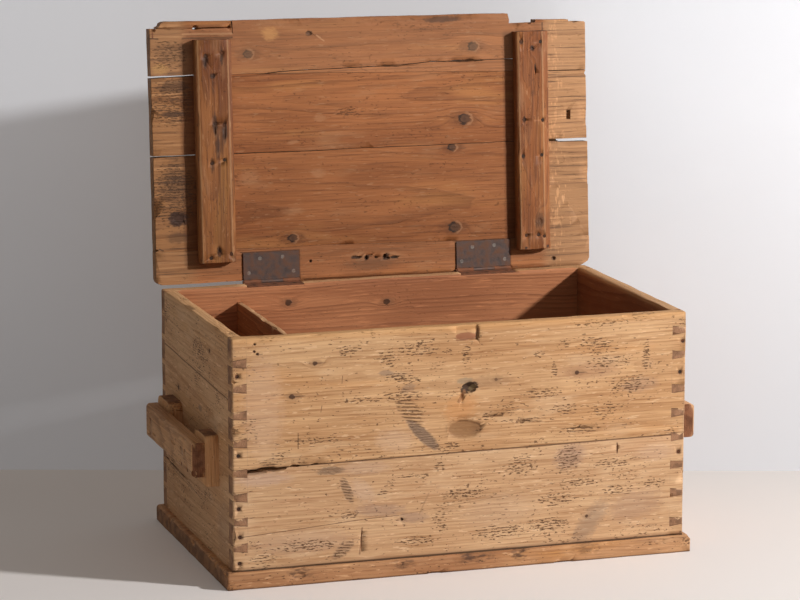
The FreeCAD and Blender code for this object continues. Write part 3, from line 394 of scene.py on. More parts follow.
def front_upper_finish():
    knots = [((0.159, 0.418), 0.0042), ((0.115, 0.358), 0.0048), ((0.514, 0.365), 0.003),
             ((0.677, 0.367), 0.004)]
    wood = Wood("front_upper_pine", "xzy", seed=1.0)
    tones = (rgb(0.645, 0.39, 0.2), rgb(0.52, 0.28, 0.128), rgb(0.6, 0.305, 0.125))
    wood.grain(tones, RING_PINE, (0.372, 0.11, 0.012), 0.0046, knots, 0.6)
    wood.wear(WORM_DARK, BLEACHED)
    wood.patches(
        ((0.06, 0.34), (0.035, 0.09), 0.35, rgb(0.66, 0.43, 0.29), 0.0, 0.9),
        ((0.313, 0.262), (0.035, 0.02), 0.35, rgb(0.66, 0.45, 0.31), 0.0, 0.9),
        ((0.7, 0.37), (0.062, 0.016), 0.4, rgb(0.4, 0.21, 0.12), 0.1, 0.7))
    grey = wood.oval((0.37, 0.267), (0.015, 0.03), -0.88, 0.5, 0.5)
    wood.tint(grey * 0.7, rgb(0.25, 0.17, 0.125))
    wood.stripes(grey, WORM_DARK, 0.0032, 0.5)
    wood.stripes(wood.oval((0.343, 0.315), (0.021, 0.026), -0.57, 0.5, 0.5), WORM_DARK, 0.0063)
    wood.patches(
        ((0.34, 0.359), (0.012, 0.01), 0.45, GREY_SCAR, 0.6),
        ((0.297, 0.391), (0.014, 0.005), 0.55, GREY_SCAR, -0.4),
        ((0.445, 0.315), (0.03, 0.026), 0.45, rgb(0.62, 0.27, 0.09), 0.3, 0.9))
    worn = wood.oval((0.452, 0.274), (0.036, 0.017), 0.0, 0.45, 0.5)
    wood.tint(worn * 0.8, rgb(0.27, 0.13, 0.052))
    wood.patches(
        ((0.476, 0.272), (0.012, 0.013), 0.25, rgb(0.2, 0.1, 0.05), 0.0, 0.7),
        ((0.805, 0.335), (0.035, 0.014), 0.35, PURPLE_GREY, 0.4, 0.8))
    wood.dashes(wood.scratched(UPPER_SCRATCHES), WORM_DARK)
    wood.scratches(
        ((0.126, 0.288), (0.126, 0.259), 0.0016, 0.8, WORM_DARK),
        ((0.1, 0.276), (0.203, 0.268), 0.0009, 0.7, WORM_DARK),
        ((0.212, 0.391), (0.211, 0.377), 0.0015, 0.7, WORM_DARK),
        ((0.172, 0.337), (0.17, 0.325), 0.0016, 0.7, WORM_DARK),
        ((0.488, 0.2955), (0.528, 0.293), 0.0016, 0.75, WORM_DARK),
        ((0.556, 0.2805), (0.582, 0.2805), 0.0022, 0.75, WORM_DARK),
        ((0.664, 0.26), (0.704, 0.2595), 0.0024, 0.7, WORM_DARK),
        ((0.035, 0.3925), (0.08, 0.3905), 0.0011, 0.6, WORM_DARK))
    for at in ((0.044, 0.461), (0.043, 0.4475), (0.049, 0.4425)):
        wood.tint(wood.oval(at, (0.0032, 0.0026), 0.0, 0.5, 0.6) * 0.85, rgb(0.12, 0.05, 0.03))
    wood.add_knots(knots, KNOT_CORE, KNOT_HALO)
    wood.patches(
        ((0.495, 0.362), (0.05, 0.011), 0.45, KNOT_HALO, 0.2, 0.8),
        ((0.452, 0.366), (0.014, 0.006), 0.6, rgb(0.3, 0.23, 0.15)),
        ((0.46, 0.352), (0.016, 0.011), 0.95, rgb(0.04, 0.02, 0.012), 0.4, 0.35),
        ((0.468, 0.352), (0.006, 0.006), 0.7, rgb(0.24, 0.16, 0.075), 0.4, 0.5))
    wood.scratches(((0.452, 0.345), (0.44, 0.327), 0.0065, 0.8, rgb(0.25, 0.11, 0.045)))
    lock = wood.oval((0.455, 0.458), (0.0225, 0.016), 0.0, 0.25, 0.15)
    wood.tint(lock * 0.3, rgb(0.7, 0.41, 0.2))
    top = wood.oval((0.455, 0.4665), (0.023, 0.0045), 0.0, 0.4, 0.6)
    wood.tint(top * 0.6, rgb(0.38, 0.17, 0.07))
    # Painted shadow in the lock recess: its foot and the dark lines along its right side and its
    # bottom.
    foot = wood.oval((0.455, 0.4505), (0.0215, 0.0075), 0.0, 0.35, 0.4)
    wood.tint(foot * 0.8, rgb(0.27, 0.09, 0.044))
    wood.scratches(
        ((0.477, 0.47), (0.475, 0.445), 0.004, 0.8, rgb(0.13, 0.055, 0.03)),
        ((0.436, 0.444), (0.475, 0.4455), 0.003, 0.6, rgb(0.24, 0.11, 0.055)))
    wood.tint(wood.b.rise(0.455, 0.47) * 0.5, rgb(0.66, 0.34, 0.13))
    joint = ((wood.a * 0.0089 + 0.2252 - wood.b).size() + wood.ragged * 0.0005).rise(0.0022, 0.0006)
    wood.tint(joint * 0.7, WORM_DARK)
    inside_face(wood, wood.normals["y"])
    mark_corners(wood, 0.23, 0.5)
    wood.end_grain(END_GREY)
    return wood.done()


LOWER_SCRATCHES = (
    (0.565, 0.195, 0.035, 0.025, 0.0), (0.304, 0.178, 0.012, 0.01, 0.6),
    (0.291, 0.163, 0.01, 0.008, 0.5), (0.34, 0.191, 0.03, 0.004, 0.0),
    (0.403, 0.204, 0.012, 0.012, 0.0), (0.372, 0.19, 0.01, 0.01, 0.0),
    (0.406, 0.095, 0.014, 0.024, 0.0), (0.662, 0.2, 0.026, 0.03, 0.0),
    (0.684, 0.153, 0.05, 0.009, 0.0), (0.64, 0.124, 0.045, 0.014, 0.0),
    (0.761, 0.131, 0.034, 0.011, 0.0), (0.835, 0.14, 0.03, 0.008, 0.0),
    (0.52, 0.068, 0.065, 0.014, 0.0), (0.14, 0.072, 0.08, 0.012, 0.0),
    (0.62, 0.075, 0.05, 0.014, 0.0), (0.225, 0.125, 0.02, 0.012, 0.0),
    (0.36, 0.065, 0.05, 0.01, 0.0), (0.455, 0.15, 0.05, 0.012, 0.0),
    (0.75, 0.185, 0.04, 0.012, 0.0),
)


def front_lower_finish():
    knots = [((0.328, 0.108), 0.0028), ((0.7, 0.085), 0.003)]
    wood = Wood("front_lower_pine", "xzy", seed=4.0)
    tones = (rgb(0.675, 0.43, 0.24), rgb(0.57, 0.335, 0.175), rgb(0.61, 0.35, 0.19))
    wood.grain(tones, RING_PINE, (0.02, 0.13, -0.01), 0.0052, knots, 0.5)
    wood.wear(WORM_DARK, rgb(0.76, 0.52, 0.32))
    for at, reach, lean, share, colour in (
            ((0.06, 0.205), (0.05, 0.012), 0.0, 0.45, rgb(0.58, 0.4, 0.31)),
            ((0.13, 0.08), (0.09, 0.022), 0.0, 0.35, rgb(0.5, 0.32, 0.22)),
            ((0.251, 0.168), (0.02, 0.022), -0.5, 0.4, rgb(0.62, 0.43, 0.31)),
            ((0.285, 0.129), (0.045, 0.012), -0.6, 0.5, PURPLE_GREY),
            ((0.35, 0.11), (0.028, 0.01), -0.3, 0.5, PURPLE_GREY),
            ((0.255, 0.212), (0.045, 0.012), 0.0, 0.3, rgb(0.6, 0.42, 0.31)),
            ((0.664, 0.205), (0.028, 0.024), 0.2, 0.5, PURPLE_GREY),
            ((0.706, 0.072), (0.022, 0.042), 0.6, 0.5, GREY_SCAR),
            ((0.8, 0.1), (0.05, 0.03), 0.5, 0.35, PURPLE_GREY),
            ((0.52, 0.11), (0.07, 0.03), 0.3, 0.3, rgb(0.52, 0.34, 0.22)),
            ((0.84, 0.2), (0.035, 0.016), 0.0, 0.3, rgb(0.6, 0.41, 0.29))):
        wood.tint(wood.oval(at, reach, lean, 0.9) * share, colour)
    strip = wood.oval((0.189, 0.212), (0.027, 0.0075), 0.0, 0.5)
    wood.tint(strip * 0.5, GREY_SCAR)
    wood.stripes(strip, WORM_DARK, 0.0028, 0.4)
    arc = wood.oval((0.22, 0.172), (0.009, 0.024), -0.35, 0.5, 0.6)
    foot = wood.oval((0.212, 0.058), (0.014, 0.017), 0.84, 0.6, 0.8)
    wood.tint(arc * 0.35, GREY_SCAR)
    wood.tint(foot * 0.3, GREY_SCAR)
    wood.stripes(arc.either(foot), WORM_DARK, 0.0056)
    wood.dashes(wood.scratched(LOWER_SCRATCHES), WORM_DARK)
    crack = wood.line((0.018, 0.098), (0.139, 0.106), 0.0013)
    crack = crack.either(wood.line((0.139, 0.106), (0.251, 0.114), 0.0013))
    crack = crack.either(wood.line((0.251, 0.114), (0.322, 0.1165), 0.0011))
    wood.tint(crack * 0.85, WORM_DARK)
    faint = wood.line((0.322, 0.1165), (0.444, 0.129), 0.0008)
    faint = faint.either(wood.line((0.444, 0.129), (0.6, 0.145), 0.0008))
    wood.tint(faint * 0.5, WORM_DARK)
    wood.scratches(
        ((0.25, 0.097), (0.245, 0.048), 0.0032, 0.75, rgb(0.22, 0.11, 0.055)),
        ((0.381, 0.154), (0.362, 0.115), 0.0028, 0.5, rgb(0.34, 0.19, 0.1)),
        ((0.761, 0.224), (0.761, 0.205), 0.003, 0.8, rgb(0.13, 0.06, 0.03)))
    wood.add_knots(knots, KNOT_CORE, KNOT_HALO, 0.0)
    # Painted shade: the board darkens towards its foot, and its last few millimetres above the
    # plinth are almost black.
    wood.tint(wood.b.rise(0.042, 0.034) * 0.6, rgb(0.28, 0.15, 0.08))
    wood.tint(wood.b.rise(0.0362, 0.0342) * 0.85, rgb(0.05, 0.025, 0.014))
    # Painted shade: the upward faces inside the open joint at the left end are made near black.
    open_joint_shade = wood.line((-0.002, 0.2235), (0.05, 0.2235), 0.011)
    open_joint_shade = open_joint_shade.either(wood.line((0.05, 0.2235), (0.1, 0.2265), 0.006))
    wood.tint(open_joint_shade * wood.normals["z"].rise(0.15, 0.5) * 0.95, rgb(0.02, 0.01, 0.006))
    joint = ((wood.a * 0.0089 + 0.2248 - wood.b).size() + wood.ragged * 0.0005).rise(0.0022, 0.0006)
    wood.tint(joint * wood.a.rise(0.1, 0.14) * 0.7, WORM_DARK)
    inside_face(wood, wood.normals["y"])
    mark_corners(wood, 0.0, 0.23)
    wood.end_grain(END_GREY)
    return wood.done()


def back_finish():
    knots = [((0.255, 0.434), 0.0062), ((0.461, 0.424), 0.0058), ((0.7, 0.12), 0.006),
             ((0.3, 0.3), 0.006)]
    wood = Wood("back_pine", "xzy", seed=9.0)
    tones = (rgb(0.62, 0.37, 0.19), rgb(0.5, 0.27, 0.125), rgb(0.56, 0.29, 0.12))
    wood.grain(tones, RING_PINE, (0.3, 0.36, 0.0), 0.005, knots, 0.4)
    wood.wear(WORM_DARK, rgb(0.68, 0.44, 0.25))
    wood.dashes(wood.noise((4, 9, 9), 2, 2.0).rise(0.1, 0.3), WORM_DARK, 0.7)
    inside_face(wood, wood.normals["y"] * -1.0, 1.5)
    wood.add_knots(knots, KNOT_CORE, rgb(0.22, 0.095, 0.045), 0.3)
    joint = ((0.238 - wood.b).size() + wood.ragged * 0.0005).rise(0.0022, 0.0006)
    wood.tint(joint * 0.7, WORM_DARK)
    mark_corners(wood, 0.0, 0.5)
    wood.end_grain(END_GREY)
    return wood.done()


def alone(thing):
    """Selects one object and nothing else."""
    bpy.ops.object.select_all(action="DESELECT")
    bpy.context.view_layer.objects.active = thing
    thing.select_set(True)


def dress(node, material):
    """Gives a CAD node a finish in all its material slots."""
    thing = nodes[node]
    thing.data.materials.clear()
    thing.data.materials.append(material)


warp = bpy.data.textures.new("warp", "CLOUDS")
warp.cloud_type = "COLOR"
warp.noise_scale = 0.045
chips = bpy.data.textures.new("chips", "CLOUDS")
chips.noise_scale = 0.005
CHIPS_BY = 0.0016
WARP_BY = 0.0022
WARP_APART = 0.022
SAME_PLACE = 0.00001


def gouge(piece, places, meeting):
    """Cuts rough hollows. A place is a middle's x, y and z and three half sizes, in metres."""
    balls = []
    for x, y, z, *reach in places:
        bpy.ops.object.select_all(action="DESELECT")
        bpy.ops.mesh.primitive_ico_sphere_add(subdivisions=3, radius=1.0, location=(x, y, z))
        balls.append(bpy.context.object)
        balls[-1].scale = reach
    bpy.ops.object.select_all(action="DESELECT")
    for ball in balls:
        ball.select_set(True)
    cutter = balls[0]
    bpy.context.view_layer.objects.active = cutter
    if len(balls) > 1:
        bpy.ops.object.join()
    bpy.ops.object.transform_apply(location=True, rotation=True, scale=True)
    rough = cutter.modifiers.new("rough", "DISPLACE")
    rough.texture = chips
    rough.strength = CHIPS_BY
    bpy.ops.object.modifier_apply(modifier="rough")
    alone(piece)
    cut = piece.modifiers.new("cut", "BOOLEAN")
    cut.operation = "DIFFERENCE"
    cut.solver = "EXACT"
    cut.use_self = meeting
    cut.object = cutter
    bpy.ops.object.modifier_apply(modifier="cut")
    bpy.data.objects.remove(cutter)


def worn(node, body, slot, material, gouges=(), meeting=False):
    """Puts in a CAD board's place a copy that is gouged and a little uneven all over."""
    piece = bpy.data.objects.new("worn_" + node, nodes[node].data.copy())
    bpy.context.scene.collection.objects.link(piece)
    piece.data.materials.clear()
    piece.data.materials.append(material)
    alone(piece)
    bpy.ops.object.mode_set(mode="EDIT")
    bpy.ops.mesh.select_all(action="SELECT")
    bpy.ops.mesh.remove_doubles(threshold=SAME_PLACE)
    bpy.ops.object.mode_set(mode="OBJECT")
    if gouges:
        gouge(piece, gouges, meeting)
    low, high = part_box(node)
    bpy.ops.object.mode_set(mode="EDIT")
    for axis in range(3):
        count = int((high[axis] - low[axis]) / WARP_APART)
        normal = [0.0, 0.0, 0.0]
        normal[axis] = 1.0
        for number in range(1, count + 1):
            place = [0.0, 0.0, 0.0]
            place[axis] = low[axis] + (high[axis] - low[axis]) * number / (count + 1)
            bpy.ops.mesh.select_all(action="SELECT")
            bpy.ops.mesh.bisect(plane_co=place, plane_no=normal, threshold=SAME_PLACE)
    bpy.ops.object.mode_set(mode="OBJECT")
    uneven = piece.modifiers.new("uneven", "DISPLACE")
    uneven.texture = warp
    uneven.direction = "RGB_TO_XYZ"
    uneven.strength = WARP_BY
    bpy.ops.object.modifier_apply(modifier="uneven")
    bpy.ops.object.shade_smooth_by_angle(angle=math.radians(32.0))
    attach(piece, body)
    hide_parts(node)
    return piece


FRONT_FACE = -HALF_DEEP
worn("front_board_upper", "chest", "weathered_pine", front_upper_finish(),
     ((0.01, FRONT_FACE, 0.352, 0.015, 0.006, 0.01),
      (-0.004, FRONT_FACE, 0.335, 0.005, 0.003, 0.009),
      (0.002, FRONT_FACE, 0.274, 0.034, 0.0035, 0.015),
      (-0.406, FRONT_FACE, 0.461, 0.0024, 0.005, 0.002),
      (-0.407, FRONT_FACE, 0.4475, 0.0022, 0.005, 0.002),
      (-0.401, FRONT_FACE, 0.4425, 0.0024, 0.005, 0.002),
      (0.058, FRONT_FACE, 0.2945, 0.02, 0.0018, 0.0011),
      (0.119, FRONT_FACE, 0.2805, 0.014, 0.0022, 0.0014),
      (0.234, FRONT_FACE, 0.2598, 0.02, 0.0022, 0.0018),
      (-0.15, -0.26, 0.4728, 0.03, 0.007, 0.0018), (-0.29, -0.266, 0.4722, 0.012, 0.004, 0.003),
      (0.215, -0.252, 0.4738, 0.04, 0.012, 0.0025), (0.33, -0.2665, 0.4712, 0.012, 0.004, 0.003),
      (0.027, FRONT_FACE, 0.456, 0.0022, 0.006, 0.014),
      (-0.385, FRONT_FACE, 0.2262, 0.018, 0.009, 0.0024),
      (-0.33, FRONT_FACE, 0.2268, 0.01, 0.009, 0.002),
      (-0.292, FRONT_FACE, 0.227, 0.008, 0.007, 0.0018),
      (-0.448, FRONT_FACE, 0.392, 0.006, 0.004, 0.003),
      (-0.449, FRONT_FACE, 0.3, 0.004, 0.004, 0.007)), meeting=True)
worn("front_board_lower", "chest", "weathered_pine", front_lower_finish(),
     ((0.311, FRONT_FACE, 0.2145, 0.0016, 0.004, 0.009),
      (-0.202, FRONT_FACE, 0.072, 0.0009, 0.0012, 0.02),
      (-0.412, FRONT_FACE, 0.2222, 0.032, 0.026, 0.008),
      (-0.372, FRONT_FACE, 0.224, 0.026, 0.022, 0.0056),
      (-0.33, FRONT_FACE, 0.2262, 0.014, 0.01, 0.0026),
      (-0.122, FRONT_FACE, 0.108, 0.003, 0.003, 0.0026),
      (-0.449, FRONT_FACE, 0.1, 0.004, 0.004, 0.012),
      (0.449, FRONT_FACE, 0.15, 0.004, 0.004, 0.01)), meeting=True)
back_pine = back_finish()
worn("back_board_upper", "chest", "weathered_pine", back_pine)
worn("back_board_lower", "chest", "weathered_pine", back_pine)

# ---------------------------------------------------------------- ends
# Each end is two pine boards whose dovetail pins come through the front and the back, where
# their darker end grain shows. They are nailed, scrubbed and as weathered as the front.


def end_finish(name, seed, outwards, heights):
    knots = [((0.4, 0.3), 0.0045), ((0.16, 0.42), 0.004)]
    wood = Wood(name, "yzx", seed=seed)
    tones = (rgb(0.66, 0.405, 0.22), rgb(0.56, 0.315, 0.16), rgb(0.6, 0.33, 0.15))
    wood.grain(tones, RING_PINE, (0.25, 0.3, 0.02), 0.0048, knots, 0.42)
    wood.wear(WORM_DARK, rgb(0.72, 0.47, 0.28), 1.2)
    wood.dashes(wood.noise((7, 14, 14), 2, 2.0).rise(0.0, 0.2), WORM_DARK, 0.9)
    wood.add_knots(knots, KNOT_CORE, KNOT_HALO)
    if outwards < 0.0:
        split = wood.line((0.523, 0.139), (0.499, 0.135), 0.002)
        split = split.either(wood.line((0.499, 0.135), (0.368, 0.129), 0.002))
        split = split.either(wood.line((0.368, 0.129), (0.24, 0.117), 0.0014))
        split = split.either(wood.line((0.48, 0.127), (0.3, 0.119), 0.001))
        wood.tint(split * 0.85, WORM_DARK)
        wood.tint(wood.oval((0.235, 0.294), (0.012, 0.006)) * 0.6, GREY_SCAR)
        wood.tint(wood.oval((0.06, 0.1), (0.05, 0.06), 0.0, 0.9) * 0.3, GREY_SCAR)
    inside_face(wood, wood.normals["x"] * -outwards)
    wood.tint(wood.b.rise(0.462, 0.47) * 0.35, rgb(0.66, 0.36, 0.15))
    joint = (wood.a * 0.0271 + 0.3534 - wood.b).size() + wood.ragged * 0.0005
    wood.tint(joint.rise(0.0022, 0.0006) * 0.7, WORM_DARK)
    wood.end_grain(END_GREY, 0.9)
    side = wood.c if outwards < 0.0 else 2.0 * HALF_LONG - wood.c
    wood.tint(wood.pin_edges(side, heights) * wood.end * 0.8, WORM_DARK)
    return wood.done()


left_pine = end_finish("left_end_pine", 14.0, -1.0, PIN_HEIGHTS_LEFT)
right_pine = end_finish("right_end_pine", 17.0, 1.0, PIN_HEIGHTS_RIGHT)
LEFT_FACE = -HALF_LONG
LEFT_TOP_DENTS = ((LEFT_FACE, -0.15, 0.4722, 0.005, 0.02, 0.003),
                  (LEFT_FACE, 0.06, 0.4724, 0.005, 0.03, 0.003),
                  (-0.4365, -0.205, 0.4726, 0.003, 0.003, 0.003),
                  (-0.43, -0.11, 0.473, 0.006, 0.016, 0.0022))
LEFT_SPLIT = ((LEFT_FACE, 0.235, 0.1365, 0.005, 0.026, 0.0012),
              (LEFT_FACE, 0.175, 0.1338, 0.004, 0.04, 0.001),
              (LEFT_FACE, 0.1, 0.13, 0.0025, 0.04, 0.0009))
worn("left_end_board_upper", "chest", "weathered_pine", left_pine, LEFT_TOP_DENTS)
worn("left_end_board_lower", "chest", "weathered_pine", left_pine, LEFT_SPLIT, meeting=True)
worn("right_end_board_upper", "chest", "weathered_pine", right_pine)
worn("right_end_board_lower", "chest", "weathered_pine", right_pine)

# ---------------------------------------------------------------- bottom
# Three thick boards run along under the walls and stand out all round as a worn plinth. They
# are nailed up into the walls, and are browner, bruised and stained along their rounded edge.


def bottom_finish():
    knots = [((0.15, 0.05), 0.006), ((0.62, 0.3), 0.008)]
    wood = Wood("bottom_pine", "xyz", seed=21.0)
    tones = (rgb(0.56, 0.3, 0.145), rgb(0.41, 0.19, 0.085), rgb(0.58, 0.27, 0.09))
    wood.grain(tones, rgb(0.2, 0.08, 0.03), (0.1, -0.1, 0.0), 0.0055, knots, 0.42)
    wood.wear(WORM_DARK, rgb(0.62, 0.36, 0.19), 1.2)
    wood.add_knots(knots, KNOT_CORE, rgb(0.22, 0.1, 0.05))
    wood.dashes(wood.noise((6, 30, 30), 2, 2.0).rise(0.0, 0.25), WORM_DARK, 0.8)
    bruised = wood.noise((60, 200, 200), 3, 17.0).rise(-0.15, 0.1)
    front_edge = wood.b.rise(0.012, 0.0)
    for along, reach, share in ((0.127, 0.022, 0.75), (0.47, 0.034, 0.95), (0.56, 0.014, 0.9),
                                (0.33, 0.02, 0.6), (0.7, 0.03, 0.5)):
        spot = ((wood.a - along) / reach).squared() + ((wood.c - 0.024) / 0.01).squared()
        spot = (spot + wood.ragged * 1.5).rise(1.8, 0.1) * front_edge
        wood.tint(spot * bruised * share, rgb(0.11, 0.055, 0.032))
    # Painted shadow: the lowest few millimetres of the bottom boards are darkened where they stand
    # on the floor.
    wood.tint(wood.c.rise(0.004, 0.001) * 0.7, rgb(0.07, 0.035, 0.02))
    wood.end_grain(rgb(0.3, 0.15, 0.075), 0.8)
    return wood.done()


bottom_pine = bottom_finish()
PLINTH_FRONT = -0.2765
PLINTH_LEFT = -0.463
PLINTH_TOP = 0.032
worn("bottom_board_front", "chest", "bottom_pine", bottom_pine,
     ((0.02, PLINTH_FRONT, PLINTH_TOP, 0.026, 0.0035, 0.005),
      (0.113, PLINTH_FRONT, PLINTH_TOP, 0.012, 0.0035, 0.006),
      (-0.215, PLINTH_FRONT, PLINTH_TOP, 0.02, 0.003, 0.005),
      (-0.325, PLINTH_FRONT, 0.018, 0.012, 0.0018, 0.006),
      (0.29, PLINTH_FRONT, PLINTH_TOP, 0.016, 0.0035, 0.0055),
      (0.4, PLINTH_FRONT, 0.03, 0.01, 0.003, 0.006),
      (-0.06, PLINTH_FRONT, 0.001, 0.014, 0.004, 0.003),
      (0.2, PLINTH_FRONT, 0.001, 0.02, 0.004, 0.0025),
      (PLINTH_LEFT, -0.262, 0.028, 0.004, 0.01, 0.006),
      (0.463, -0.27, 0.03, 0.005, 0.008, 0.006)))
worn("bottom_board_middle", "chest", "bottom_pine", bottom_pine,
     ((PLINTH_LEFT, -0.15, PLINTH_TOP, 0.004, 0.018, 0.005),
      (PLINTH_LEFT, -0.02, 0.03, 0.003, 0.012, 0.006),
      (PLINTH_LEFT, 0.09, PLINTH_TOP, 0.004, 0.022, 0.004)))
worn("bottom_board_back", "chest", "bottom_pine", bottom_pine)

# ---------------------------------------------------------------- till
# A thin partition and a floor are let into the walls at the left end. They have never been
# bleached, and are dark red-brown.


def till_finish():
    wood = Wood("till_pine", "yzx", seed=25.0)
    tones = (rgb(0.42, 0.18, 0.075), rgb(0.3, 0.112, 0.044), rgb(0.38, 0.145, 0.054))
    wood.grain(tones, rgb(0.14, 0.05, 0.022), (0.4, 0.25, 0.0), 0.004, (), 0.5)
    wood.wear(WORM_DARK, rgb(0.52, 0.27, 0.13))
    top = wood.normals["z"].rise(0.3, 0.8) * wood.b.rise(0.43, 0.438)
    wood.tint(top * 0.8, rgb(0.62, 0.37, 0.19))
    wood.end_grain(rgb(0.16, 0.06, 0.028), 0.6)
    return wood.done()


till_pine = till_finish()
TILL_TOP = 0.4405
worn("till_partition", "chest", "inside_pine", till_pine,
     ((-0.2965, -0.17, TILL_TOP, 0.009, 0.02, 0.0026),
      (-0.2915, -0.09, TILL_TOP, 0.004, 0.026, 0.003),
      (-0.302, -0.03, TILL_TOP, 0.004, 0.016, 0.0026),
      (-0.2965, 0.05, TILL_TOP, 0.009, 0.014, 0.0022),
      (-0.2915, 0.13, TILL_TOP, 0.004, 0.02, 0.0026)))
dress("till_bottom", till_pine)

# ---------------------------------------------------------------- handles
# At each end a bar is nailed across two blocks, so that a hand goes behind it. The bar's
# edges are worn round by hands, and its wood is darker and smoother than the box's.


RUBBED = rgb(0.64, 0.39, 0.21)


def bar_finish():
    wood = Wood("handle_bar_wood", "yzx", seed=31.0)
    tones = (rgb(0.6, 0.335, 0.165), rgb(0.45, 0.23, 0.105), rgb(0.56, 0.29, 0.12))
    wood.grain(tones, rgb(0.19, 0.08, 0.035), (0.21, 0.3, 0.05), 0.0045, (), 0.5)
    wood.wear(WORM_DARK, RUBBED)
    wood.dashes(wood.noise((8, 25, 25), 2, 2.0).rise(0.04, 0.28), WORM_DARK, 0.75)
    wood.end_grain(rgb(0.22, 0.085, 0.04), 0.9)
    return wood.done(0.5)


def block_finish():
    wood = Wood("handle_block_wood", "zyx", seed=35.0)
    tones = (rgb(0.66, 0.37, 0.17), rgb(0.56, 0.29, 0.13), rgb(0.6, 0.31, 0.13))
    wood.grain(tones, rgb(0.24, 0.1, 0.045), (0.1, 0.2, 0.05), 0.0045, (), 0.3)
    wood.wear(WORM_DARK, RUBBED)
    wood.end_grain(rgb(0.22, 0.09, 0.04), 0.8)
    return wood.done()


bar_wood = bar_finish()
block_wood = block_finish()
BAR_FACE = -0.503
BAR_DENTS = ((BAR_FACE, -0.11, 0.256, 0.004, 0.016, 0.004),
             (BAR_FACE, -0.03, 0.23, 0.0022, 0.018, 0.003),
             (BAR_FACE, 0.06, 0.256, 0.004, 0.022, 0.0035),
             (BAR_FACE, 0.12, 0.212, 0.0022, 0.014, 0.0026),
             (-0.498, -0.168, 0.2, 0.006, 0.003, 0.008))
for side in ("left", "right"):
    dents = BAR_DENTS if side == "left" else ()
    worn(side + "_handle_bar", "chest", "handle_wood", bar_wood, dents)
    worn(side + "_handle_block_front", "chest", "handle_wood", block_wood)
    worn(side + "_handle_block_back", "chest", "handle_wood", block_wood)

# ---------------------------------------------------------------- lid
# Four pine boards held by two battens. Seen open, its inside is warm red-brown where it was
# kept from the light, and paler at the right edge. The joints have shrunk open at the ends.

HINGE_AXIS = (0.2706, 0.474)        # y and z, in metres
LID_LEAN = math.radians(4.0)
FACE_FROM_AXIS = 0.002
EDGE_FROM_AXIS = 0.0028


def lid_place():
    """What brings a point of the open lid back to the lid's own plane: u, w and v."""
    y, z = HINGE_AXIS
    turned_y = y * math.cos(LID_LEAN) - z * math.sin(LID_LEAN)
    turned_z = y * math.sin(LID_LEAN) + z * math.cos(LID_LEAN)
    return (HALF_LONG, -turned_y - FACE_FROM_AXIS, -turned_z - EDGE_FROM_AXIS)


FRONT_KNOTS = (((0.192, 0.452), 0.0075), ((0.664, 0.452), 0.008))
UPPER_KNOTS = (((0.644, 0.306), 0.01),)
LOWER_KNOTS = (((0.616, 0.249), 0.007), ((0.275, 0.081), 0.0075), ((0.618, 0.086), 0.009))
LID_RED = rgb(0.385, 0.142, 0.05)
LID_BROWN = rgb(0.275, 0.092, 0.03)
LID_WARM = rgb(0.43, 0.178, 0.058)
LID_RING = rgb(0.145, 0.05, 0.019)
LID_PALE = rgb(0.51, 0.268, 0.125)
LID_MARGIN = rgb(0.4, 0.195, 0.08)
LID_STAIN = rgb(0.085, 0.045, 0.028)
LID_FLECK = rgb(0.52, 0.27, 0.135)


def lid_knots(wood, knots):
    """Grey-brown oval knots, a broken dark outline deepened by painted shade away from the lamp,
    and a painted highlight arc on the lamp's side.
    """
    for at, radius in knots:
        along = (wood.a - at[0]) / (radius * 1.2)
        up = (wood.b - at[1]) / radius
        far = (along.squared() + up.squared()).root() + wood.ragged * 0.5
        dusk = (along / 3.4).squared() + (up / 1.8).squared() + wood.ragged * 0.7
        wood.tint(dusk.rise(1.4, 0.0) * 0.65, LID_RING)
        # Painted highlight: a pale arc on the knot's side towards the lamp. Painted shade darkens
        # the outline on the other side.
        painted_light_side = along.rise(-0.3, 0.9)
        wood.tint(far.rise(1.7, 1.35) * far.rise(1.0, 1.25) * painted_light_side * 0.4, LID_FLECK)
        wood.tint(far.rise(1.3, 0.7) * 0.85, rgb(0.11, 0.052, 0.028))
        rim = far.rise(1.3, 1.0) * far.rise(0.55, 0.95)
        wood.tint(rim * (1.2 - painted_light_side) * 0.85, rgb(0.04, 0.02, 0.012))
        wood.tint(far.rise(0.7, 0.0) * 0.7, rgb(0.075, 0.034, 0.02))


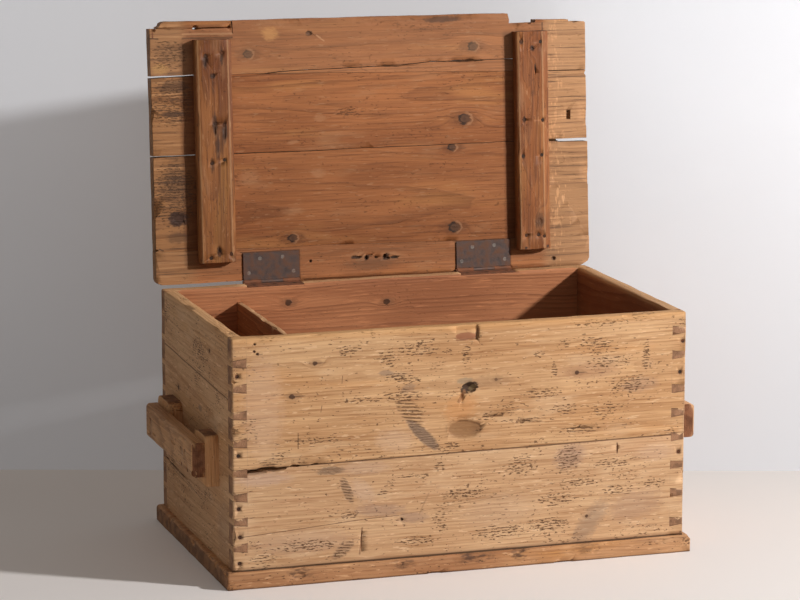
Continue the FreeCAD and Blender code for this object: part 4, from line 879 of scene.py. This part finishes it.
def lid_finish(name, seed, pith, apart, knots, tone, margin_tone=1.0):
    wood = Wood(name, "xzy", lid_place(), LID_LEAN, seed)
    tones = (scaled(LID_RED, tone), scaled(LID_BROWN, tone), scaled(LID_WARM, tone))
    wood.grain(tones, LID_RING, pith, apart, knots, 0.48)
    wood.wear(rgb(0.1, 0.04, 0.02), scaled(LID_FLECK, 0.8), 0.6)
    pale_scrapes = (wood.noise((35, 170, 170), 4, 81.0) - 0.18).rise(0.0, 0.05)
    wood.tint(pale_scrapes * 0.3, LID_FLECK)
    right = (wood.a + wood.noise((8, 8, 8), 3) * 0.03).rise(0.805, 0.835)
    wood.tint(right * 0.9, scaled(LID_PALE, margin_tone))
    speckled = wood.noise((180, 60, 60), 3, 91.0) - (wood.a - 0.842).size() * 5.0
    wood.tint(right * speckled.rise(0.0, 0.12) * 0.6, scaled(LID_PALE, 1.45))
    left = (wood.a + wood.noise((8, 8, 8), 3, 5.0) * 0.03).rise(0.082, 0.05)
    wood.tint(left * 0.75, LID_MARGIN)
    margin = left.either(right)
    wood.tint(margin * wood.ring * 0.5, LID_RING)
    lines = wood.noise((7, 220, 220), 3, 95.0)
    wood.tint(margin * lines.rise(0.06, 0.18) * 0.7, LID_STAIN)
    wood.tint(margin * lines.rise(-0.06, -0.18) * 0.45, scaled(LID_PALE, 1.3))
    soiled = (wood.a - 0.04).size().rise(0.022, 0.008)
    soiled = soiled * wood.noise((9, 16, 16), 3, 99.0).rise(-0.1, 0.15)
    wood.tint(soiled * lines.rise(-0.12, 0.14) * 0.6, LID_STAIN)
    # Painted shadow: the lid's wood just left of each batten, where the batten's shadow falls, is
    # darkened almost to black.
    batten_shadow = wood.a.rise(0.046, 0.058) * wood.a.rise(0.1, 0.09)
    batten_shadow = batten_shadow.either(wood.a.rise(0.724, 0.735) * wood.a.rise(0.78, 0.77))
    batten_shadow = batten_shadow * wood.b.rise(0.028, 0.042) * wood.b.rise(0.486, 0.472)
    wood.tint(batten_shadow * 0.65, rgb(0.07, 0.018, 0.005))
    lid_knots(wood, knots)
    return wood


def close_lid(wood):
    """The weathered outside, the ends, and the grime in the joints between the boards."""
    joint = wood.normals["z"].size().rise(0.6, 0.9) * wood.b.rise(0.49, 0.48)
    wood.tint(joint * 0.9, rgb(0.05, 0.025, 0.015))
    outside = wood.normals["y"].rise(0.3, 0.8)
    weathered = wood.mix(wood.ring * 0.6, rgb(0.58, 0.35, 0.18), RING_PINE)
    wood.tint(outside, weathered)
    washed = wood.noise((6, 40, 40), 3, 97.0).rise(0.0, 0.2)
    wood.tint(outside * washed * 0.5, rgb(0.4, 0.24, 0.14))
    wood.end_grain(rgb(0.3, 0.16, 0.08), 0.5)
    return wood.done()


def lid_front_finish():
    wood = lid_finish("lid_front_pine", 41.0, (0.5, 0.09, 0.0), 0.0048, FRONT_KNOTS, 1.12)
    wood.tint(0.2, rgb(0.42, 0.24, 0.13))
    wood.patches(
        ((0.238, 0.491), (0.016, 0.013), 0.55, rgb(0.62, 0.31, 0.11), 0.0, 0.8),
        ((0.012, 0.428), (0.016, 0.01), 0.5, rgb(0.56, 0.31, 0.11), 0.0, 0.8),
        ((0.6, 0.5085), (0.042, 0.006), 0.75, LID_STAIN),
        ((0.319, 0.489), (0.007, 0.005), 0.8, LID_STAIN))
    wood.scratches(
        ((0.335, 0.485), (0.35, 0.473), 0.003, 0.7, LID_FLECK),
        ((0.06, 0.4955), (0.16, 0.4935), 0.004, 0.6, LID_FLECK),
        ((0.06, 0.487), (0.16, 0.486), 0.004, 0.6, LID_STAIN),
        ((-0.001, 0.5), (-0.001, 0.49), 0.003, 0.8, rgb(0.18, 0.06, 0.03)),
        ((-0.006, 0.4885), (0.01, 0.4875), 0.0025, 0.8, LID_STAIN),
        ((0.815, 0.5), (0.815, 0.474), 0.0025, 0.85, LID_STAIN))
    wood.patches(((0.035, 0.46), (0.03, 0.02), 0.3, LID_STAIN, 0.0, 0.9))
    wood.dashes(wood.oval((0.03, 0.455), (0.04, 0.03)), LID_STAIN, 0.6)
    return close_lid(wood)


def lid_upper_middle_finish():
    wood = lid_finish("lid_upper_middle_pine", 44.0, (0.36, 0.08, 0.02), 0.005, UPPER_KNOTS, 1.04)
    wood.patches(
        ((0.038, 0.392), (0.03, 0.012), 0.6, LID_STAIN),
        ((0.036, 0.339), (0.024, 0.006), 0.75, LID_STAIN))
    wood.dashes(wood.oval((0.035, 0.36), (0.05, 0.05)), LID_STAIN, 0.6)
    wood.patches(
        ((0.337, 0.319), (0.012, 0.007), 0.28, LID_FLECK),
        ((0.28, 0.273), (0.012, 0.004), 0.3, LID_FLECK, 1.0))
    wood.dashes(wood.oval((0.4, 0.33), (0.03, 0.012)), LID_STAIN, 0.5)
    return close_lid(wood)


def lid_lower_middle_finish():
    wood = lid_finish("lid_lower_middle_pine", 47.0, (0.14, 0.1, -0.03), 0.006, LOWER_KNOTS,
                      1.0, 0.85)
    wood.patches(
        ((0.041, 0.131), (0.02, 0.015), 0.9, rgb(0.05, 0.026, 0.022), 0.0, 0.6),
        ((0.039, 0.093), (0.022, 0.01), 0.5, LID_STAIN),
        ((0.034, 0.195), (0.03, 0.035), 0.45, LID_STAIN, 0.0, 0.9))
    wood.dashes(wood.oval((0.035, 0.18), (0.05, 0.07)), LID_STAIN, 0.7)
    wood.scratches(((0.0, 0.073), (0.008, 0.069), 0.003, 0.8, LID_STAIN))
    wood.patches(
        ((0.332, 0.209), (0.014, 0.009), 0.3, LID_FLECK, 0.0, 0.9),
        ((0.189, 0.206), (0.02, 0.015), 0.25, LID_FLECK, 0.0, 0.9),
        ((0.277, 0.135), (0.022, 0.007), 0.25, LID_FLECK, 0.0, 0.9))
    return close_lid(wood)


HINGE_MIDDLES = (0.229, 0.679)
LEAF_HALF = 0.058
LEAF_HIGH = 0.056


def lid_back_finish():
    wood = lid_finish("lid_back_pine", 50.0, (0.0, 0.12, 0.0), 0.005, (), 1.25, 0.85)
    wood.patches(((0.44, 0.022), (0.05, 0.013), 0.45, LID_STAIN, 0.0, 0.9))
    wood.tint(0.15, rgb(0.42, 0.24, 0.13))
    wood.patches(
        ((0.413, 0.038), (0.016, 0.009), 0.4, LID_FLECK, 0.0, 0.9),
        ((0.482, 0.036), (0.018, 0.007), 0.3, LID_FLECK, 0.0, 0.9))
    for at, reach in (((0.408, 0.035), (0.011, 0.003)), ((0.43, 0.034), (0.005, 0.006)),
                      ((0.449, 0.034), (0.003, 0.002)), ((0.471, 0.034), (0.007, 0.007)),
                      ((0.488, 0.032), (0.009, 0.003)), ((0.312, 0.033), (0.003, 0.003))):
        wood.tint(wood.oval(at, reach, 0.3, 0.7) * 0.9, rgb(0.035, 0.018, 0.012))
    wood.patches(((0.833, 0.011), (0.005, 0.005), 0.8, LID_STAIN))
    # Painted shade: the lid is darkened round each upper hinge leaf and under it.
    for middle in HINGE_MIDDLES:
        beside = (wood.a - middle).size() - LEAF_HALF
        rim = beside.either(wood.b - LEAF_HIGH) + wood.ragged * 0.0004
        wood.tint(rim.rise(0.0042, 0.0006) * 0.75, rgb(0.07, 0.03, 0.018))
    return close_lid(wood)


def on_lid(*places):
    """Hollows whose middles are given in the lid's own plane, as u, w and v, on the open lid."""
    turned = []
    for u, w, v, *reach in places:
        back = w + FACE_FROM_AXIS
        up = v + EDGE_FROM_AXIS
        y = HINGE_AXIS[0] + back * math.cos(LID_LEAN) + up * math.sin(LID_LEAN)
        z = HINGE_AXIS[1] - back * math.sin(LID_LEAN) + up * math.cos(LID_LEAN)
        turned.append((u - HALF_LONG, y, z, *reach))
    return turned


worn("lid_board_front", "lid", "lid_pine", lid_front_finish(),
     on_lid((0.756, 0.006, 0.4965, 0.009, 0.01, 0.003),
            (0.772, 0.018, 0.497, 0.01, 0.012, 0.0035),
            (0.786, 0.004, 0.496, 0.006, 0.007, 0.003),
            (0.885, 0.01, 0.4965, 0.008, 0.014, 0.003), (0.56, 0.0, 0.5175, 0.03, 0.006, 0.0022),
            (0.64, 0.0, 0.5168, 0.022, 0.006, 0.0022), (0.28, 0.0, 0.5185, 0.02, 0.005, 0.0018),
            (0.319, 0.0, 0.489, 0.006, 0.002, 0.004), (0.0, 0.0, 0.505, 0.006, 0.006, 0.004),
            (0.5, 0.0, 0.4185, 0.04, 0.003, 0.0016),
            (0.65, 0.0, 0.424, 0.04, 0.003, 0.0018)), meeting=True)
worn("lid_board_upper_middle", "lid", "lid_pine", lid_upper_middle_finish(),
     on_lid((-0.007, 0.0, 0.34, 0.004, 0.004, 0.014),
            (0.909, 0.0, 0.3, 0.004, 0.004, 0.02),
            (0.909, 0.004, 0.39, 0.005, 0.005, 0.006)))
worn("lid_board_lower_middle", "lid", "lid_pine", lid_lower_middle_finish(),
     on_lid((-0.007, 0.0, 0.15, 0.004, 0.004, 0.02),
            (-0.006, 0.002, 0.07, 0.006, 0.005, 0.002), (0.041, 0.0, 0.131, 0.012, 0.0016, 0.01),
            (0.911, 0.0, 0.18, 0.004, 0.004, 0.02)))
worn("lid_board_back", "lid", "lid_pine", lid_back_finish(),
     on_lid((0.408, 0.0, 0.035, 0.012, 0.003, 0.0022),
            (0.402, 0.0, 0.038, 0.006, 0.002, 0.0012), (0.43, 0.0, 0.034, 0.0034, 0.006, 0.0046),
            (0.437, 0.0, 0.0385, 0.006, 0.002, 0.0012), (0.449, 0.0, 0.033, 0.004, 0.003, 0.0016),
            (0.468, 0.0, 0.035, 0.0042, 0.006, 0.005), (0.474, 0.0, 0.031, 0.005, 0.004, 0.0026),
            (0.489, 0.0, 0.0325, 0.01, 0.003, 0.002), (0.312, 0.0, 0.033, 0.0026, 0.005, 0.0026),
            (0.833, 0.0, 0.011, 0.004, 0.004, 0.004)), meeting=True)
strip_pine = close_lid(lid_finish("lid_strip_pine", 53.0, (0.48, 0.12, 0.0), 0.004, (), 1.0))
worn("lid_edge_strip_left", "lid", "lid_pine", strip_pine)
worn("lid_edge_strip_right", "lid", "lid_pine", strip_pine)

# ---------------------------------------------------------------- battens
# Two battens cross the inside of the lid and are nailed through its boards. They are planed
# pine with bevelled edges, red-brown and rubbed.


def batten_finish(name, seed, tones, edges, marks):
    wood = Wood(name, "zxy", lid_place(), LID_LEAN, seed)
    wood.grain(tones, rgb(0.14, 0.05, 0.022), (edges[0] + 0.02, 0.03, 0.04), 0.0042, marks[:2], 0.6)
    wood.wear(rgb(0.08, 0.035, 0.02), rgb(0.52, 0.27, 0.13), 0.6)
    for at, reach, share in marks[2]:
        wood.tint(wood.oval(at, reach, 0.0, 0.8) * share, rgb(0.055, 0.03, 0.022))
    for edge in edges:
        rubbed = ((wood.b - edge).size() + wood.ragged * 0.001).rise(0.0028, 0.0006)
        wood.tint(rubbed * 0.4, rgb(0.56, 0.31, 0.15))
    wood.end_grain(rgb(0.16, 0.06, 0.028), 0.8)
    return wood.done(0.5)


LEFT_BATTEN_MARKS = (
    ((0.442, 0.099), 0.005), ((0.412, 0.113), 0.005),
    (((0.442, 0.099), (0.014, 0.005), 0.85), ((0.452, 0.132), (0.018, 0.003), 0.8),
     ((0.412, 0.113), (0.006, 0.006), 0.9), ((0.392, 0.113), (0.02, 0.0015), 0.5),
     ((0.315, 0.115), (0.022, 0.005), 0.85), ((0.27, 0.119), (0.022, 0.005), 0.6),
     ((0.302, 0.135), (0.02, 0.005), 0.85), ((0.29, 0.124), (0.03, 0.009), 0.4),
     ((0.237, 0.107), (0.014, 0.004), 0.6), ((0.063, 0.117), (0.01, 0.005), 0.9),
     ((0.052, 0.1), (0.004, 0.004), 0.8), ((0.059, 0.142), (0.004, 0.003), 0.8)))
RIGHT_BATTEN_MARKS = (
    ((0.445, 0.785), 0.005), ((0.092, 0.796), 0.007),
    (((0.445, 0.785), (0.006, 0.005), 0.9), ((0.405, 0.7905), (0.008, 0.002), 0.9),
     ((0.375, 0.787), (0.022, 0.0012), 0.5), ((0.354, 0.785), (0.006, 0.004), 0.3),
     ((0.092, 0.796), (0.014, 0.01), 0.6), ((0.038, 0.765), (0.003, 0.003), 0.9),
     ((0.039, 0.813), (0.003, 0.003), 0.9), ((0.459, 0.761), (0.006, 0.004), 0.8),
     ((0.226, 0.762), (0.006, 0.003), 0.7), ((0.301, 0.765), (0.006, 0.004), 0.7)))
BATTEN_FACE = -0.022
left_batten_pine = batten_finish("left_batten_pine", 61.0,
                                 (rgb(0.31, 0.118, 0.038), rgb(0.18, 0.056, 0.018),
                                  rgb(0.36, 0.16, 0.048)), (0.084, 0.145), LEFT_BATTEN_MARKS)
right_batten_pine = batten_finish("right_batten_pine", 64.0,
                                  (rgb(0.33, 0.115, 0.036), rgb(0.225, 0.07, 0.022),
                                   rgb(0.4, 0.165, 0.05)), (0.755, 0.8065), RIGHT_BATTEN_MARKS)
worn("lid_batten_left", "lid", "batten_pine", left_batten_pine,
     on_lid((0.099, BATTEN_FACE, 0.442, 0.002, 0.0016, 0.01),
            (0.113, BATTEN_FACE, 0.412, 0.004, 0.0018, 0.004),
            (0.115, BATTEN_FACE, 0.305, 0.0012, 0.0016, 0.012),
            (0.135, BATTEN_FACE, 0.296, 0.002, 0.0016, 0.01),
            (0.117, BATTEN_FACE, 0.065, 0.0016, 0.0016, 0.006),
            (0.079, BATTEN_FACE, 0.33, 0.004, 0.005, 0.02)))
worn("lid_batten_right", "lid", "batten_pine", right_batten_pine,
     on_lid((0.785, BATTEN_FACE, 0.445, 0.0026, 0.0022, 0.003),
            (0.7905, BATTEN_FACE, 0.4, 0.001, 0.0022, 0.008),
            (0.796, BATTEN_FACE, 0.092, 0.006, 0.001, 0.008),
            (0.75, BATTEN_FACE, 0.25, 0.004, 0.005, 0.02)))

# ---------------------------------------------------------------- nails, hinges and screws
# Hand-made iron nails, rusted almost black, and two sheet-iron butt hinges with a brown skin
# of rust worn to bare metal on their edges and screw heads.


def iron_finish(name, dark, rust, rough, metallic):
    iron = Finish(name)
    spot = iron.node("ShaderNodeTexCoord", {}, {}, "Object")
    blotch = iron.node("ShaderNodeTexNoise", {}, {"Vector": spot, "Scale": 70.0, "Detail": 6.0})
    fine = iron.node("ShaderNodeTexNoise", {}, {"Vector": spot, "Scale": 900.0, "Detail": 3.0})
    rusty = (blotch + fine * 0.3).rise(0.5, 0.85)
    colour = iron.mix(rusty, dark, rust)
    iron.feed("Metallic", metallic * (1.0 - rusty * 0.8))
    return iron.close(colour, rough + rusty * 0.25, blotch + fine * 0.6, 0.0004)


nail_iron = iron_finish("rusty_nail_iron", rgb(0.04, 0.025, 0.018), rgb(0.14, 0.05, 0.022),
                        0.6, 0.3)
leaf_iron = iron_finish("hinge_iron_skin", rgb(0.13, 0.095, 0.085), rgb(0.16, 0.075, 0.045),
                        0.42, 0.6)
rusty_iron = iron_finish("rusty_hinge_iron", rgb(0.16, 0.07, 0.04), rgb(0.26, 0.1, 0.05),
                         0.6, 0.2)
screw_steel = iron_finish("screw_steel_bare", rgb(0.45, 0.4, 0.36), rgb(0.2, 0.11, 0.07),
                          0.3, 0.9)
for name in ("front_corner_nails", "back_corner_nails", "bottom_board_nails", "left_handle_nails",
             "right_handle_nails", "lid_edge_nails", "lid_batten_nails"):
    dress(name, nail_iron)
for side in ("left", "right"):
    dress(side + "_hinge_upper_leaf", leaf_iron)
    dress(side + "_hinge_lower_leaf", rusty_iron)
    dress(side + "_hinge_pin", rusty_iron)
dress("hinge_upper_screws", screw_steel)
dress("hinge_lower_screws", nail_iron)

# ---------------------------------------------------------------- floor, wall, light, camera
# A pale floor, a pale wall square to the view a hand's breadth behind the chest, a broad lamp
# high at the right of the front, and pale light all round.

CAMERA_AT = Vector((-1.95825, -5.88457, 1.65313))
CAMERA_TURN = math.radians(-18.0445)
CAMERA_TILT = math.radians(79.2138)
CAMERA_ROLL = math.radians(-0.0983)
WALL_AWAY = 6.735               # from the camera, level
LIGHT_FROM = Vector((0.7, -0.56, 0.45)).normalized()
LIGHT_AWAY = 5.0


def stage_finish(name, colour, lift, low=1.0):
    """Matt paint, seen a little lighter than the lamps make it and low as dark at its foot."""
    paint = Finish(name)
    spot = paint.node("ShaderNodeTexCoord", {}, {}, "Object")
    cloud = paint.node("ShaderNodeTexNoise", {}, {"Vector": spot, "Scale": 1.5, "Detail": 3.0})
    darker = tuple(0.96 * part for part in colour[:3]) + (1.0,)
    shade = paint.mix(cloud.rise(0.35, 0.65), colour, darker)
    height = paint.node("ShaderNodeSeparateXYZ", {}, {0: spot}, 1)
    shade = paint.mix(height.rise(0.85, 0.05), shade, scaled(colour, low))
    paint.feed("Base Color", shade)
    paint.feed("Roughness", 0.8)
    paint.feed("Emission Color", colour)
    seen = paint.node("ShaderNodeLightPath", {}, {}, "Is Camera Ray")
    paint.feed("Emission Strength", seen * lift)
    return paint


bpy.ops.object.select_all(action="DESELECT")
bpy.ops.mesh.primitive_plane_add(size=14.0, location=(0.0, 0.0, 0.0))
floor = bpy.context.object
floor.name = "floor"
floor.data.materials.append(stage_finish("floor_paint", rgb(0.85, 0.8, 0.775), 0.03).material)

wall_middle = CAMERA_AT + Vector((-math.sin(CAMERA_TURN), math.cos(CAMERA_TURN), 0.0)) * WALL_AWAY
bpy.ops.object.select_all(action="DESELECT")
bpy.ops.mesh.primitive_plane_add(size=14.0, location=(wall_middle.x, wall_middle.y, 0.0),
                                 rotation=(math.radians(90.0), 0.0, CAMERA_TURN))
wall = bpy.context.object
wall.name = "wall"
wall_paint = stage_finish("wall_paint", rgb(0.8, 0.815, 0.855), 0.11, 0.8)
see_through = wall_paint.node("ShaderNodeBsdfTransparent", {}, {})
behind = wall_paint.node("ShaderNodeNewGeometry", {}, {}, "Backfacing")
painted = Value(wall_paint, wall_paint.shader.outputs[0])
one_sided = wall_paint.node("ShaderNodeMixShader", {}, {0: behind, 1: painted, 2: see_through})
output = wall_paint.tree.nodes["Material Output"]
wall_paint.tree.links.new(one_sided.socket, output.inputs["Surface"])
wall.data.materials.append(wall_paint.material)
wall.visible_diffuse = False

lamp = bpy.data.lights.new("key_lamp", "AREA")
lamp.shape = "DISK"
lamp.size = 0.33
lamp.energy = 254.0
lamp_object = bpy.data.objects.new("key_lamp", lamp)
bpy.context.scene.collection.objects.link(lamp_object)
lamp_object.location = LIGHT_FROM * LIGHT_AWAY + Vector((0.0, 0.0, 0.4))
lamp_object.rotation_euler = LIGHT_FROM.to_track_quat("Z", "Y").to_euler()

world = bpy.data.worlds.new("pale_room")
bpy.context.scene.world = world
world.use_nodes = True
sky = world.node_tree.nodes["Background"]
sky.inputs["Color"].default_value = (1.0, 0.93, 0.86, 1.0)
path = world.node_tree.nodes.new("ShaderNodeLightPath")
lift = world.node_tree.nodes.new("ShaderNodeMapRange")
lift.inputs["To Min"].default_value = 0.24
lift.inputs["To Max"].default_value = 0.9
world.node_tree.links.new(path.outputs["Is Camera Ray"], lift.inputs["Value"])
world.node_tree.links.new(lift.outputs[0], sky.inputs["Strength"])

camera_data = bpy.data.cameras.new("camera")
camera_data.sensor_width = 36.0
camera_data.lens = 146.0
camera = bpy.data.objects.new("camera", camera_data)
bpy.context.scene.collection.objects.link(camera)
camera.location = CAMERA_AT
camera.rotation_euler = (CAMERA_TILT, CAMERA_ROLL, CAMERA_TURN)
bpy.context.scene.camera = camera
bpy.context.scene.view_settings.view_transform = "Standard"
